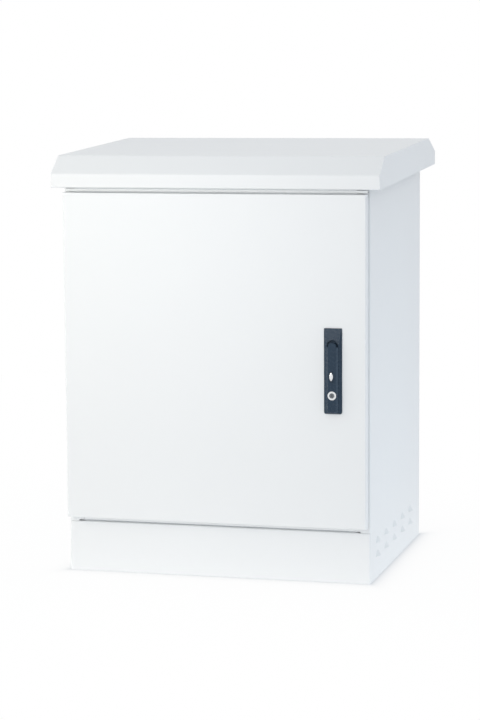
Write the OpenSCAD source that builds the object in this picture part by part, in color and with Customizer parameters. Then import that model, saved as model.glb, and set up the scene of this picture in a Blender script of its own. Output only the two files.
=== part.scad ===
// Roadside utility cabinet: a folded sheet steel shell on a plinth, under a tilted roof hood, with a
// full-height door on concealed hinges and a swing handle that works a pair of lock rods.
// Origin at the centre of the footprint on the ground, +Z up, the door faces -Y.

/* [Body] */
// Width of the shell
body_w = 600; // [560:10:800]
// Depth of the shell
body_d = 500; // [460:10:700]
// Height of the shell under its top plate
body_h = 780; // [760:5:1000]
// Thickness of the shell's sheet
sheet_t = 1.5; // [1:0.1:2]
// Inside radius of the folds
bend_r = 1.5; // [1:0.1:2.5]
// Width of the side panels' front returns
front_return_w = 28; // [26:1:36]
// Width of the side panels' rear returns
rear_return_w = 25; // [18:1:40]
// How far the collar round the door opening stands forward
collar_h = 10; // [7:0.5:11]

/* [Plinth] */
// Height of the plinth cover
plinth_h = 98; // [96:1:140]
// Depth of the cover's side and top returns
plinth_return = 24; // [20:1:40]
// Seam between the cover and the side panels
plinth_seam = 1; // [0.5:0.1:2]
// Distance of the shadow gap's ends from the shell's sides
plinth_gap_end = 19; // [12:1:26]
// Shadow gap between the cover and the sill
plinth_gap = 2.4; // [2:0.1:4]
// Number of screws in the cover's top return
plinth_screws_n = 3; // [2:1:5]
// Distance of the outer cover screws from the middle
plinth_screw_x = 200; // [120:5:230]
// Radius of the cover screws
plinth_screw_r = 3; // [2:0.5:4]
// Length of an anchor foot's legs on the ground
foot_w = 60; // [50:1:90]
// Height of an anchor foot's upright leg
foot_h = 30; // [20:1:32]
// Thickness of the anchor feet
foot_t = 4; // [3:0.5:6]
// Distance of the anchor holes from the side panels' outer faces
anchor_inset = 35; // [30:1:45]
// Distance of the anchor holes from the shell's front and back
anchor_end = 50; // [40:1:80]
// Radius of the anchor holes
anchor_r = 7; // [5:0.5:9]

/* [Louvres] */
// Louvres in a row
louvre_columns = 5; // [2:1:5]
// Rows of louvres
louvre_rows = 2; // [1:1:2]
// Distance between neighbours in a row
louvre_pitch_y = 82; // [50:1:83]
// Distance between rows
louvre_pitch_z = 27; // [18:1:30]
// Height of the lowest row
louvre_z = 48; // [44:1:52]
// Shift of the pattern towards the back
louvre_shift_y = -17; // [-24:1:10]
// Length of a louvre
louvre_l = 34; // [24:1:44]
// Height of a louvre
louvre_h = 10; // [6:0.5:12]
// How far a louvre stands out
louvre_proud = 5.5; // [3:0.1:6]
// Wall of a louvre
louvre_wall = 1.2; // [0.8:0.1:1.5]
// Thickness of the intake filters
filter_t = 8; // [4:0.5:12]
// Height of the intake filters
filter_h = 56; // [50:1:60]
// Length of the intake filters
filter_l = 390; // [350:5:400]

/* [Door] */
// Gap between the plinth cover and the door
door_reveal = 11; // [6:0.5:14]
// Drop from the shell's top to the door's top
door_drop = 40; // [38:1:60]
// Gap between the door's edges and the shell's sides
door_side_gap = 3.2; // [1:0.1:4]
// Thickness of the door over its returns
door_t = 19; // [18:0.5:24]
// Gap between the door's back edge and the shell
door_standoff = 5; // [4.5:0.1:8]
// Thickness of the door's sheet
door_sheet_t = 1.5; // [1:0.1:2]
// Outside radius of the door's front edges
door_edge_r = 2.5; // [2.2:0.1:4]
// How far the door laps over the opening, above and below
door_lap = 28; // [24:1:40]
// Width of the lips on the door's returns
door_lip = 12; // [6:0.5:13]
// Width of the gasket
gasket_w = 14; // [8:0.5:14]
// Gap between the gasket and the collar
gasket_gap = 0.3; // [0.2:0.1:0.8]
// Distance of the stiffeners from the door's middle
stiffener_x = 140; // [90:5:160]
// Width of a stiffener's crown
stiffener_w = 30; // [20:1:40]
// Height of a stiffener
stiffener_h = 13; // [8:0.5:14]
// Sheet of the stiffeners
stiffener_t = 1.2; // [0.8:0.1:1.5]
// Distance of the stiffeners' ends from the door's edges
stiffener_end = 60; // [45:5:120]

/* [Hinges] */
// Distance of the hinge line from the door's left edge
hinge_inset = 10; // [9.5:0.1:11]
// Distance of the hinges from the door's top and bottom
hinge_end = 100; // [90:5:180]
// Height of a hinge arm
hinge_arm_h = 24; // [16:1:40]
// Radius of the knuckles
hinge_knuckle_r = 6; // [5:0.1:6]
// Radius of the hinge pins
hinge_pin_r = 3; // [2:0.1:3.5]
// Running clearance of the pins
hinge_fit = 0.05; // [0.02:0.01:0.1]
// Height of a leaf's cheeks
hinge_cheek_h = 8; // [5:0.5:12]
// Gap between the arm and the cheeks
hinge_play = 0.4; // [0.3:0.1:1]
// Height of an arm's foot
hinge_foot_h = 60; // [50:1:90]
// Thickness of an arm's foot
hinge_foot_t = 4; // [3:0.5:6]

/* [Hood] */
// How far the hood's ends stand out past the shell's sides
hood_side = 21.5; // [12:0.5:40]
// How far the front lip stands out past the shell's front
hood_front = 20; // [18:0.5:30]
// Depth of the hood along its slope
hood_depth = 572; // [545:0.1:760]
// Slope of the hood, down towards the front
hood_tilt = 2.5; // [1:0.1:4]
// Drop from the shell's top to the front lip's lower edge
hood_drop = 31.5; // [28:0.1:34]
// Height of the lips
lip_h = 27; // [22:0.5:40]
// Run of the front bevel
front_bevel_run = 49; // [30:1:60]
// Run of the back bevel
back_bevel_run = 71; // [30:1:90]
// Rise of the bevels
bevel_rise = 31.6; // [28:0.1:45]
// Return under the lips
lip_return = 11; // [6:0.5:12]
// Sheet of the hood
hood_t = 1.5; // [1:0.1:2]
// Distance of the hood's supports from the middle
support_x = 200; // [160:5:250]
// Length of the hood's supports
support_l = 380; // [200:10:400]
// Width of the supports' flanges
support_w = 30; // [24:1:40]
// Thickness of the supports
support_t = 2; // [1.5:0.1:3]
// Radius of the hood bolts
hood_bolt_r = 4; // [3:0.5:5]

/* [Rain channel] */
// Gap between the door's top and the channel
channel_gap = 1.3; // [1:0.1:3]
// How far the channel stands out from the header
channel_d = 12; // [8:0.5:16]
// Height of the channel's front lip
channel_lip = 5.8; // [4:0.1:6.4]
// Height of the channel's web on the header
channel_web = 28; // [16:1:34]
// Sheet of the channel
channel_t = 1; // [0.8:0.1:1.2]
// Distance of the channel's ends from the shell's sides
channel_end = 3; // [2:0.5:24]

/* [Vents and cable entry] */
// Vent slots in a row of the top plate
vent_slots = 20; // [8:1:24]
// Distance between vent slots
vent_pitch = 14; // [10:0.5:14]
// Width of a vent slot
vent_w = 6; // [3:0.5:8]
// Length of a vent slot
vent_l = 70; // [30:5:100]
// Distance between the two rows of vent slots
vent_row_pitch = 140; // [110:5:200]
// Width of the gland plate
gland_w = 340; // [320:5:400]
// Depth of the gland plate
gland_d = 150; // [120:5:180]
// Thickness of the gland plate
gland_t = 2; // [1.5:0.1:4]
// How far the gland plate laps over the floor
gland_lap = 20; // [14:1:24]
// Distance of the gland plate's middle behind the cabinet's middle
gland_y = 60; // [-40:5:100]
// Number of cable grommets
grommets = 4; // [2:1:4]
// Distance between grommets
grommet_pitch = 75; // [64:1:78]
// Radius of the grommet holes
grommet_r = 22; // [12:0.5:24]
// Width of the grommets' flanges
grommet_flange = 4; // [2:0.5:5]

/* [Rack] */
// Distance of the front rails behind the shell's front
rail_front = 60; // [50:1:100]
// Distance of the rear rails before the shell's back
rail_rear = 60; // [40:1:100]
// Height of the rails' foot above the floor plate
rail_foot = 39; // [20:1:48]
// Depth of the rails
rail_d = 25; // [20:1:40]
// Sheet of the rails
rail_t = 2; // [1.5:0.1:2.5]
// Width of the rails' flanges
rail_flange = 23; // [22:0.5:26]
// Distance of the rails' outer faces from the shell's sides
rack_side = 53; // [40:0.5:56]
// Least room left above the rails
rail_headroom = 45; // [42:1:90]
// Height of the struts
strut_h = 30; // [24:1:44]
// Distance of the struts from the rails' ends
strut_end = 12; // [0:1:60]
// Radius of the rail bolts
rail_bolt_r = 3; // [2:0.5:4]

/* [Handle] */
// Distance of the spindle from the door's right edge
handle_inset = 63.1; // [60:0.1:90]
// Height of the spindle above the door's lower edge
hub_up = 347; // [250:1:400]
// Length of the housing
handle_l = 162.3; // [150:1:190]
// Width of the housing
handle_w = 34.6; // [32:0.1:44]
// Length of the housing above the spindle
handle_head = 34.3; // [26:0.5:40]
// Height of the housing's upright edge
housing_edge = 1.4; // [1:0.1:3]
// Height of the housing
housing_h = 6; // [5:0.1:8]
// Width of the housing's flanks
housing_flank = 5.5; // [3:0.1:6]
// Height above the spindle at which the upper ramp starts
housing_ramp = 4; // [0:0.5:8]
// Radius of the housing's lower corners
housing_corner_r = 4.5; // [2:0.1:5]
// Radius of the housing's upper corners
housing_top_r = 1.5; // [1:0.1:4]
// Radius of the pocket round the lever's upper end
pocket_r = 10.7; // [10:0.1:11]
// How far the pocket's middle lies above the spindle
pocket_up = 1.8; // [0:0.1:2.5]
// Height of the pocket's bottom above the door
pocket_floor = 1.4; // [1:0.1:1.5]
// Gap between the lever and the housing
lever_gap = 0.3; // [0.3:0.05:0.6]
// Thickness of the lever
lever_t = 4.7; // [4.6:0.1:7]
// Width of the lever's face
lever_w = 16; // [15:0.1:18]
// Width of the lever's base
lever_base_w = 22.6; // [20:0.1:23]
// Distance of the lever's lower end from the housing's
lever_end = 2; // [1:0.1:6]
// Height of the lift pin above the lever's base
lift_pin_up = 1.3; // [1.2:0.05:1.5]
// Radius of the lift pin
lift_pin_r = 1.2; // [0.9:0.05:1.3]
// Thickness of the spindle's tongue
tongue_t = 5; // [4:0.1:6]
// Radius of the tongue's end
tongue_r = 2.1; // [1.9:0.05:2.2]
// Gap round the tongue
tongue_gap = 0.4; // [0.3:0.05:0.6]
// Radius of the spindle
spindle_r = 5.5; // [5:0.1:6]
// Running clearance of spindle, pins and key plug
fit = 0.05; // [0.02:0.01:0.1]
// Side of the spindle's square
square_w = 7; // [6:0.1:7.5]
// Radius of the housing's boss behind the door
boss_r = 9; // [8:0.1:11]
// Length of the boss behind the door's face
boss_l = 10; // [6:0.5:14]
// Distance of the lock below the spindle
lock_down = 92; // [80:1:110]
// Radius of the lock barrel
barrel_r = 8.2; // [7:0.1:8.4]
// Radius of the boss round the lock barrel
lock_boss_r = 9.6; // [9.2:0.1:10]
// Radius of the key plug
plug_r = 5; // [4:0.1:5.5]
// Depth of the key plug's face below the barrel's rim
plug_recess = 1.5; // [0.5:0.1:2]
// Width of the key slot
key_slot_w = 1.6; // [1:0.1:2]
// Length of the key slot
key_slot_l = 6.4; // [4:0.1:7]
// Distance of the pointed recess below the spindle
eye_down = 56.5; // [40:0.5:66]
// Length of the pointed recess
eye_l = 23; // [16:0.5:28]
// Width of the pointed recess
eye_w = 13; // [8:0.1:14]
// Depth of the pointed recess
eye_depth = 2; // [1:0.1:2.5]
// Rim left round the insert
eye_rim = 2.6; // [1:0.1:3]
// How far the insert sits left of the recess's middle
insert_left = 2.2; // [0:0.1:2.4]

/* [Lock rods] */
// Radius at which the cam's drive pins sit
crank_r = 12.7; // [11:0.1:14]
// Radius of the drive pins
crank_pin_r = 2.5; // [2:0.1:2.8]
// Thickness of the cam
cam_t = 3; // [2:0.5:4]
// Gap between cam and rods
cam_gap = 0.5; // [0.3:0.1:1]
// Distance of the rods behind the shell's front
rod_setback = 7.5; // [6:0.5:12]
// Width of the rods
rod_w = 18; // [17:0.5:20]
// Thickness of the rods
rod_t = 4; // [3:0.5:5]
// Play of the drive pins in the rods' slots
slot_play = 0.6; // [0.5:0.05:0.8]
// Gap between the rods' tips and the opening's edges
rod_tip_gap = 1; // [0.5:0.1:3]
// Length of the rods' tapered tips
rod_taper = 14; // [6:1:24]
// Distance of the rod guides from the opening's edges
guide_end = 70; // [40:5:110]
// Height of a rod guide
guide_h = 14; // [10:1:24]
// Wall of a rod guide
guide_wall = 6; // [4:0.5:8]
// Gap between rods and guides
guide_gap = 0.4; // [0.3:0.05:0.8]

/* [Hidden] */
$fn = 48;
// Overshoot of a cutting tool
cut = 1;
// Facets in the arc of a fold
fold_steps = 4;
// Least radius inside a pan
least_r = 0.5;

// Colours
coat = [0.93, 0.94, 0.945];
zinc = [0.74, 0.76, 0.77];
bright = [0.86, 0.87, 0.88];
black = [0.25, 0.29, 0.34];
rubber = [0.09, 0.09, 0.1];
foam = [0.3, 0.31, 0.32];

// Shell
half_w = body_w / 2;
front_y = -body_d / 2;
back_y = body_d / 2;
inner_x = half_w - sheet_t;
back_in_y = back_y - 2 * sheet_t;
door_w = body_w - 2 * door_side_gap;
door_z0 = plinth_h + door_reveal;
door_z1 = body_h - door_drop;
door_h = door_z1 - door_z0;
door_back_y = front_y - door_standoff;
door_front_y = door_back_y - door_t;
door_in_y = door_front_y + door_sheet_t;
open_x = half_w - front_return_w;
open_z0 = door_z0 + door_lap;
open_z1 = door_z1 - door_lap;
collar_y = front_y - collar_h;
sill_z = plinth_h + plinth_gap;
floor_z = sill_z + sheet_t;
floor_top = floor_z + sheet_t;
floor_setback = 10;
floor_front_y = front_y + floor_setback;
roof_z = body_h + sheet_t;
anchor_pitch_y = body_d - 2 * anchor_end;

// Fasteners: radius and height of heads and nuts as shares of the shank's radius
head_ratio = 1.7;
head_h_ratio = 1.1;
hex_ratio = 2;
hex_h_ratio = 1.3;
nut_ratio = 1.85;
nut_h_ratio = 1.6;
hole_play = 0.2;
pad_ratio = 2;
back_screw_r = 2.5;
back_screw_in = 12;
back_screw_rows = 4;
back_screw_end = 120;
gland_screw_r = 2.5;
stud_r = 3;
stud_l = 18;
stud_in = 40;
door_stud_in = 77.5;

// Grommets: thickness of the membrane, and of the lip that holds behind the plate
grommet_web = 1.5;
grommet_hold = 3;

// Hood
hood_w = body_w + 2 * hood_side;
hood_y = front_y - hood_front;
hood_z = body_h - hood_drop;
hood_h = lip_h + bevel_rise;
hood_seat = 0.05;
hood_bolt_end = 30;

// Rack: the standard pitch of a unit, its three holes, and the holes' square and place in the flange
unit = 44.45;
unit_holes = [6.35, 22.225, 38.1];
rack_hole = 9.5;
rack_hole_in = 14.45;
rail_out = body_w - 2 * rack_side;
rail_clear = rail_out - 2 * rail_flange;
rack_hole_pitch = rail_out - 2 * rack_hole_in;
rail_margin = 6;
rail_z = floor_top + rail_foot;
rack_units = floor((body_h - rail_headroom - rail_z - 2 * rail_margin) / unit);
rail_h = rack_units * unit + 2 * rail_margin;
rail_front_y = front_y + rail_front;
rail_rear_y = back_y - rail_rear;
rail_bolt_edge = 11;
rail_bolt_in = rail_d - rail_bolt_edge;
// Height of the rail bolts as a share of the strut's
strut_bolt_share = 0.6;
strut_z = [rail_z + strut_end, rail_z + rail_h - strut_end - strut_h];

// Hinges
hinge_x = -door_w / 2 + hinge_inset;
hinge_y = (door_front_y + door_back_y) / 2;
hinge_z = [door_z0 + hinge_end, door_z1 - hinge_end];
hinge_bore_r = hinge_pin_r + hinge_fit;
hinge_arm_left = 1.5;
hinge_leaf_t = 1.5;
hinge_leaf_left = 5;
hinge_leaf_right = 7.5;
hinge_notch_play = 1;
hinge_foot_left = 8;
hinge_foot_right = 12;
hinge_screw_r = 2.5;
hinge_screw_up = 22;
leaf_h = hinge_arm_h + 2 * (hinge_play + hinge_cheek_h);
pin_head = 2;
pin_head_lip = 1.5;

// Handle: places along the door's normal are counted outwards from the door's face
hub_x = door_w / 2 - handle_inset;
hub_z = door_z0 + hub_up;
lever_base = housing_h + lever_gap;
lever_face = lever_base + lever_t;
lever_tail = handle_head - handle_l + lever_end;
lift_p = lever_base + lift_pin_up;
hub_end_r = lever_w / 2;
slot_reach = 4;
handle_screw_r = 2.5;
handle_screw_depth = 2.6;
handle_screw_top = 14;
handle_screw_foot = 11;
handle_screw_y = [handle_head - handle_screw_top, handle_head - handle_l + handle_screw_foot];
// Upright edge of the lever's base, and where its bar starts below the spindle
lever_edge = 0.8;
lever_shoulder = -1;
// How far the lock stands out of the lever, and the insert's height as a share of its recess
barrel_rim = 0.5;
insert_share = 0.8;
// Length of the spindle's journal behind the boss
journal_end = 2;

// Lock rods: the pins start and end 45 degrees off the level
pin_off = crank_r * sin(45);
rod_off = (crank_r + pin_off) / 2;
rod_front_y = front_y + rod_setback;
rod_land = 3.5;
rod_foot = crank_pin_r + slot_play + rod_land;
rod_top_z = open_z1 - sheet_t - rod_tip_gap;
rod_low_z = open_z0 + sheet_t + rod_tip_gap;

// Unit vector along v, the vector to its left, and v turned by an angle
function unit_of(v) = v / norm(v);
function left_of(v) = [-v[1], v[0]];
function turned(v, a) = [v[0] * cos(a) - v[1] * sin(a), v[0] * sin(a) + v[1] * cos(a)];
// Direction of a path's segment, and the turn at one of its corners, positive to the left
function run(p, i) = unit_of(p[i + 1] - p[i]);
function turn(p, i) = atan2(cross(run(p, i - 1), run(p, i)), run(p, i - 1) * run(p, i));
// Corner i of a path moved d to its left
function moved(p, i, d) =
    i == 0 ? p[0] + d * left_of(run(p, 0)) :
    i == len(p) - 1 ? p[i] + d * left_of(run(p, i - 1)) :
    let(n = left_of(run(p, i - 1)) + left_of(run(p, i))) p[i] + d * n * 2 / (n * n);
// Corner i of a path as an arc of radius r
function arc(p, i, r) =
    let(a = run(p, i - 1), t = turn(p, i), s = sign(t))
    let(c = p[i] - r * tan(abs(t) / 2) * a + s * r * left_of(a))
    [for (k = [0 : fold_steps]) c - s * r * turned(left_of(a), t * k / fold_steps)];
// A path whose corners are arcs: radius inner where the side lies inside the bend, outer elsewhere
function bent(p, side, inner, outer) = [
    p[0],
    for (i = [1 : len(p) - 2]) each arc(p, i, turn(p, i) * side > 0 ? outer : inner),
    p[len(p) - 1]
];
function reversed(p) = [for (i = [len(p) - 1 : -1 : 0]) p[i]];
// Outline of a rectangle from corner a to corner b, its corners rounded by r
function round_rect(a, b, r) = [
    for (c = [[b[0], b[1], 0], [a[0], b[1], 90], [a[0], a[1], 180], [b[0], a[1], 270]])
        for (k = [0 : fold_steps])
            [c[0], c[1]] + r * (turned([-1, -1], c[2]) + turned([1, 0], c[2] + 90 * k / fold_steps))
];

// Section of a sheet of thickness t, folded along a path, lying to the path's left (t < 0: right)
module folded(path, t) {
    other = [for (i = [0 : len(path) - 1]) moved(path, i, t)];
    wide = bend_r + abs(t);
    polygon(concat(bent(path, sign(t), bend_r, wide), reversed(bent(other, -sign(t), bend_r, wide))));
}

// A section in Y and Z, drawn out along X over a length, about the middle
module along_x(length) {
    translate([-length / 2, 0, 0]) rotate([90, 0, 90]) linear_extrude(length) children();
}

// A section in X and Z, drawn out along Y from y0 over a length
module along_y(y0, length) {
    translate([0, y0 + length, 0]) rotate([90, 0, 0]) linear_extrude(length) children();
}

// A block of the given width and height, d deep, whose front edges are rounded by r
module soft_block(w, z0, z1, y0, d, r) {
    intersection() {
        translate([0, 0, z0]) linear_extrude(z1 - z0)
            polygon(round_rect([-w / 2, y0], [w / 2, y0 + d + 2 * r], r));
        along_x(w) polygon(round_rect([y0, z0], [y0 + d + 2 * r, z1], r));
        translate([-w, y0 - cut, z0 - cut]) cube([2 * w, d + cut, z1 - z0 + 2 * cut]);
    }
}

// A folded pan: the block above with its inside taken out from behind
module pan(w, z0, z1, y0, d, r, t) {
    difference() {
        soft_block(w, z0, z1, y0, d, r);
        soft_block(w - 2 * t, z0 + t, z1 - t, y0 + t, d + cut, max(r - t, least_r));
    }
}

// A pan head screw: its head stands on z = 0, its shank runs down
module screw(r, length) {
    cylinder(r = r * head_ratio, h = r * head_h_ratio);
    translate([0, 0, -length]) cylinder(r = r, h = length);
}

// A hexagon bolt, standing the same way
module hex_bolt(r, length) {
    cylinder(r = r * hex_ratio, h = r * hex_h_ratio, $fn = 6);
    translate([0, 0, -length]) cylinder(r = r, h = length);
}

// Louvres: places on the right side's outer face
module louvre_field() {
    for (i = [0 : louvre_columns - 1])
        for (k = [0 : louvre_rows - 1])
            translate([
                half_w,
                louvre_shift_y + (i - (louvre_columns - 1) / 2) * louvre_pitch_y,
                louvre_z + k * louvre_pitch_z
            ]) children();
}

// A cylinder that leans back from the louvre's lower edge to the sheet at its upper edge
module louvre_drum(inset) {
    lean = atan(louvre_proud / louvre_h);
    reach = louvre_proud * cos(lean);
    r = (pow(louvre_l / 2, 2) + reach * reach) / (2 * reach);
    translate([louvre_proud, 0, -louvre_h / 2]) rotate([0, -lean, 0])
        translate([-r, 0, -louvre_h]) cylinder(r = r - inset, h = 3 * louvre_h, $fn = 96);
}

module louvre_cowl() {
    intersection() {
        louvre_drum(0);
        translate([-sheet_t / 2, -louvre_l, -louvre_h / 2])
            cube([louvre_proud + sheet_t, 2 * louvre_l, louvre_h + cut]);
    }
}

module louvre_throat() {
    mouth = louvre_l / 2 - 2 * louvre_wall;
    intersection() {
        louvre_drum(louvre_wall);
        translate([-sheet_t - cut, -mouth, -louvre_h / 2 - cut])
            cube([louvre_proud + sheet_t + 2 * cut, 2 * mouth, louvre_h + cut - louvre_wall]);
    }
}

// Side panel: collar, front return, side and rear return are one folded sheet
module side_shell(left) {
    path = [
        [open_x, collar_y], [open_x, front_y], [half_w, front_y],
        [half_w, back_y], [half_w - rear_return_w, back_y]
    ];
    reach = front_return_w + 2 * sheet_t;
    difference() {
        union() {
            linear_extrude(body_h) folded(path, sheet_t);
            louvre_field() louvre_cowl();
        }
        louvre_field() louvre_throat();
        translate([open_x - 2 * sheet_t, collar_y - cut, -cut])
            cube([reach + cut, collar_h + plinth_return + plinth_seam + cut, plinth_h + cut]);
        translate([open_x - 2 * sheet_t, collar_y - cut, -cut])
            cube([reach, collar_h + cut, open_z0 + cut]);
        translate([open_x - 2 * sheet_t, collar_y, 0])
            cube([reach - plinth_gap_end, collar_h + bend_r + 2 * sheet_t, sill_z]);
        translate([open_x - 2 * sheet_t, collar_y - cut, open_z1])
            cube([reach, collar_h + cut, body_h]);
        if (left)
            for (z = hinge_z)
                translate([
                    -hinge_x - hinge_knuckle_r - hinge_play, front_y - cut,
                    z - hinge_arm_h / 2 - hinge_play
                ]) cube([
                    hinge_knuckle_r + hinge_arm_left + 2 * hinge_play, sheet_t + 2 * cut,
                    hinge_arm_h + 2 * hinge_play
                ]);
    }
}

module side_panel_left() { color(coat) mirror([1, 0, 0]) side_shell(true); }
module side_panel_right() { color(coat) side_shell(false); }

// Back panel: a flat sheet behind the rear returns
module back_panel() {
    w = 2 * (inner_x - bend_r);
    color(coat) difference() {
        translate([-w / 2, back_in_y, 0]) cube([w, sheet_t, body_h]);
        back_screw_places() cylinder(r = back_screw_r + hole_play, h = 4 * sheet_t, center = true);
    }
}

module back_screw_places() {
    step = (body_h - 2 * back_screw_end) / (back_screw_rows - 1);
    for (s = [-1, 1])
        for (k = [0 : back_screw_rows - 1])
            translate([s * (half_w - back_screw_in), back_in_y, back_screw_end + k * step])
                rotate([90, 0, 0]) children();
}
module back_panel_screws() { color(zinc) back_screw_places() screw(back_screw_r, sheet_t); }

// Header and sill between the collars
module header_rail() {
    path = [
        [collar_y, open_z1], [front_y, open_z1], [front_y, body_h], [front_y + plinth_return, body_h]
    ];
    color(coat) along_x(2 * (open_x - sheet_t)) folded(path, -sheet_t);
}

// Rain channel: a folded gutter over the door, on the header's front
module rain_channel() {
    z = door_z1 + channel_gap;
    path = [
        [front_y, z + channel_web], [front_y, z], [front_y - channel_d, z],
        [front_y - channel_d, z + channel_lip]
    ];
    color(coat) along_x(body_w - 2 * channel_end) folded(path, -channel_t);
}

module sill_rail() {
    path = [
        [collar_y, open_z0], [front_y, open_z0], [front_y, sill_z], [front_y + plinth_return, sill_z]
    ];
    color(coat) difference() {
        along_x(2 * (open_x - sheet_t)) folded(path, sheet_t);
        plinth_screw_places() cylinder(r = plinth_screw_r + hole_play, h = 8 * sheet_t, center = true);
    }
}

// Top plate with two rows of vent slots
module top_plate() {
    color(coat) difference() {
        translate([-half_w, front_y, body_h]) cube([body_w, body_d, sheet_t]);
        for (s = [-1, 1])
            for (i = [0 : vent_slots - 1])
                translate([
                    (i - (vent_slots - 1) / 2) * vent_pitch - vent_w / 2,
                    s * vent_row_pitch / 2 - vent_l / 2, body_h - cut
                ]) cube([vent_w, vent_l, sheet_t + 2 * cut]);
        hood_bolt_places() cylinder(r = hood_bolt_r + hole_play, h = 8 * sheet_t, center = true);
    }
}

// Floor plate with the opening for the gland plate
module floor_plate() {
    w = gland_w - 2 * gland_lap;
    d = gland_d - 2 * gland_lap;
    color(coat) difference() {
        translate([-inner_x, floor_front_y, floor_z]) cube([2 * inner_x, back_in_y - floor_front_y, sheet_t]);
        translate([0, 0, floor_z - cut]) linear_extrude(sheet_t + 2 * cut)
            polygon(round_rect([-w / 2, gland_y - d / 2], [w / 2, gland_y + d / 2], gland_lap / 2));
        gland_screw_places() cylinder(r = gland_screw_r + hole_play, h = 8 * sheet_t, center = true);
        plinth_screw_places() cylinder(r = plinth_screw_r + hole_play, h = 8 * sheet_t, center = true);
    }
}

module gland_screw_places() {
    for (x = [-1, 0, 1])
        for (y = [-1, 1])
            translate([
                x * (gland_w - gland_lap) / 2, gland_y + y * (gland_d - gland_lap) / 2, floor_top + gland_t
            ]) children();
}
module grommet_places() {
    for (i = [0 : grommets - 1])
        translate([(i - (grommets - 1) / 2) * grommet_pitch, gland_y, floor_top]) children();
}

module gland_plate() {
    color(zinc) difference() {
        translate([0, 0, floor_top]) linear_extrude(gland_t) polygon(round_rect(
            [-gland_w / 2, gland_y - gland_d / 2], [gland_w / 2, gland_y + gland_d / 2], gland_lap / 2));
        gland_screw_places() cylinder(r = gland_screw_r + hole_play, h = 4 * gland_t, center = true);
        grommet_places() cylinder(r = grommet_r + fit, h = 4 * gland_t, center = true);
    }
}
module gland_screws() { color(zinc) gland_screw_places() screw(gland_screw_r, gland_t + 3 * sheet_t); }

// Grommets: a grooved ring closed by a stepped membrane
module cable_grommets() {
    lip = grommet_r + grommet_flange;
    hold = grommet_r + grommet_hold;
    web = grommet_web;
    step = grommet_r / 3;
    color(rubber) grommet_places() rotate_extrude() polygon([
        [0, -web], [grommet_r - web, -web], [grommet_r - web, -2 * web], [hold, -2 * web], [hold, 0],
        [grommet_r, 0], [grommet_r, gland_t], [lip, gland_t], [lip, gland_t + web],
        [2 * step, gland_t + 2 * web], [2 * step, gland_t + 4 * web], [step, gland_t + 4 * web],
        [step, gland_t + 6 * web], [0, gland_t + 6 * web]
    ]);
}

// Plinth cover: a pan open below, screwed from inside through the sill and the floor, on raised pads
module plinth_screw_places() {
    for (i = [0 : plinth_screws_n - 1])
        translate([
            (2 * i / (plinth_screws_n - 1) - 1) * plinth_screw_x,
            (floor_front_y + front_y + plinth_return) / 2, floor_top
        ]) children();
}
module plinth_cover() {
    r = bend_r + sheet_t;
    color(coat) difference() {
        union() {
            pan(body_w, -plinth_return, plinth_h, front_y, plinth_return, r, sheet_t);
            plinth_screw_places() translate([0, 0, plinth_h - sheet_t - floor_top])
                cylinder(r = pad_ratio * plinth_screw_r, h = sheet_t + plinth_gap);
        }
        translate([-body_w, front_y - body_d, -body_h]) cube([2 * body_w, 2 * body_d, body_h]);
        plinth_screw_places() cylinder(r = plinth_screw_r + hole_play, h = 16 * sheet_t, center = true);
    }
}
module plinth_screws() { color(zinc) plinth_screw_places() screw(plinth_screw_r, plinth_gap + 5 * sheet_t); }

// Anchor feet: angles welded to the side panels, each with one anchor hole
module anchor_feet() {
    path = [[inner_x, foot_h], [inner_x, 0], [inner_x - foot_w, 0]];
    color(zinc) for (m = [0, 1]) mirror([m, 0, 0])
        for (s = [-1, 1]) difference() {
            along_y(s * anchor_pitch_y / 2 - foot_w / 2, foot_w) folded(path, -foot_t);
            translate([half_w - anchor_inset, s * anchor_pitch_y / 2, -cut])
                cylinder(r = anchor_r, h = foot_t + 2 * cut);
        }
}

// Intake filters: pleated pads against the side panels behind the louvres
module filter_pad() {
    pleats = 13;
    pleat = filter_l / pleats;
    z0 = louvre_z + (louvre_rows - 1) * louvre_pitch_z / 2 - filter_h / 2;
    translate([0, 0, z0]) linear_extrude(filter_h) polygon([
        [inner_x, louvre_shift_y - filter_l / 2],
        [inner_x, louvre_shift_y + filter_l / 2],
        for (i = [pleats : -1 : 0])
            each [
                [inner_x - filter_t / 3, louvre_shift_y - filter_l / 2 + i * pleat],
                if (i > 0) [inner_x - filter_t, louvre_shift_y - filter_l / 2 + (i - 0.5) * pleat]
            ]
    ]);
}
module intake_filter_left() { color(foam) mirror([1, 0, 0]) filter_pad(); }
module intake_filter_right() { color(foam) filter_pad(); }

// Roof hood, drawn in its own sloping frame: u runs back along the slope, v stands on it
module hood_frame() {
    translate([0, hood_y, hood_z]) rotate([hood_tilt, 0, 0]) children();
}
function hood_under(y) =
    hood_z + (y - hood_y) * tan(hood_tilt) + (hood_h - hood_t - hood_seat) / cos(hood_tilt);

module roof_hood() {
    outline = [
        [0, 0], [0, lip_h], [front_bevel_run, hood_h], [hood_depth - back_bevel_run, hood_h],
        [hood_depth, lip_h], [hood_depth, 0]
    ];
    sheet = concat([[lip_return, 0]], outline, [[hood_depth - lip_return, 0]]);
    color(coat) hood_frame() {
        along_x(hood_w - hood_t) folded(sheet, -hood_t);
        for (m = [0, 1]) mirror([m, 0, 0]) translate([hood_w / 2 - hood_t / 2, 0, 0])
            along_x(hood_t) polygon(bent(concat([[hood_depth / 2, 0]], outline, [[hood_depth / 2, 0]]),
                -1, bend_r, bend_r + hood_t));
    }
}

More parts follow.
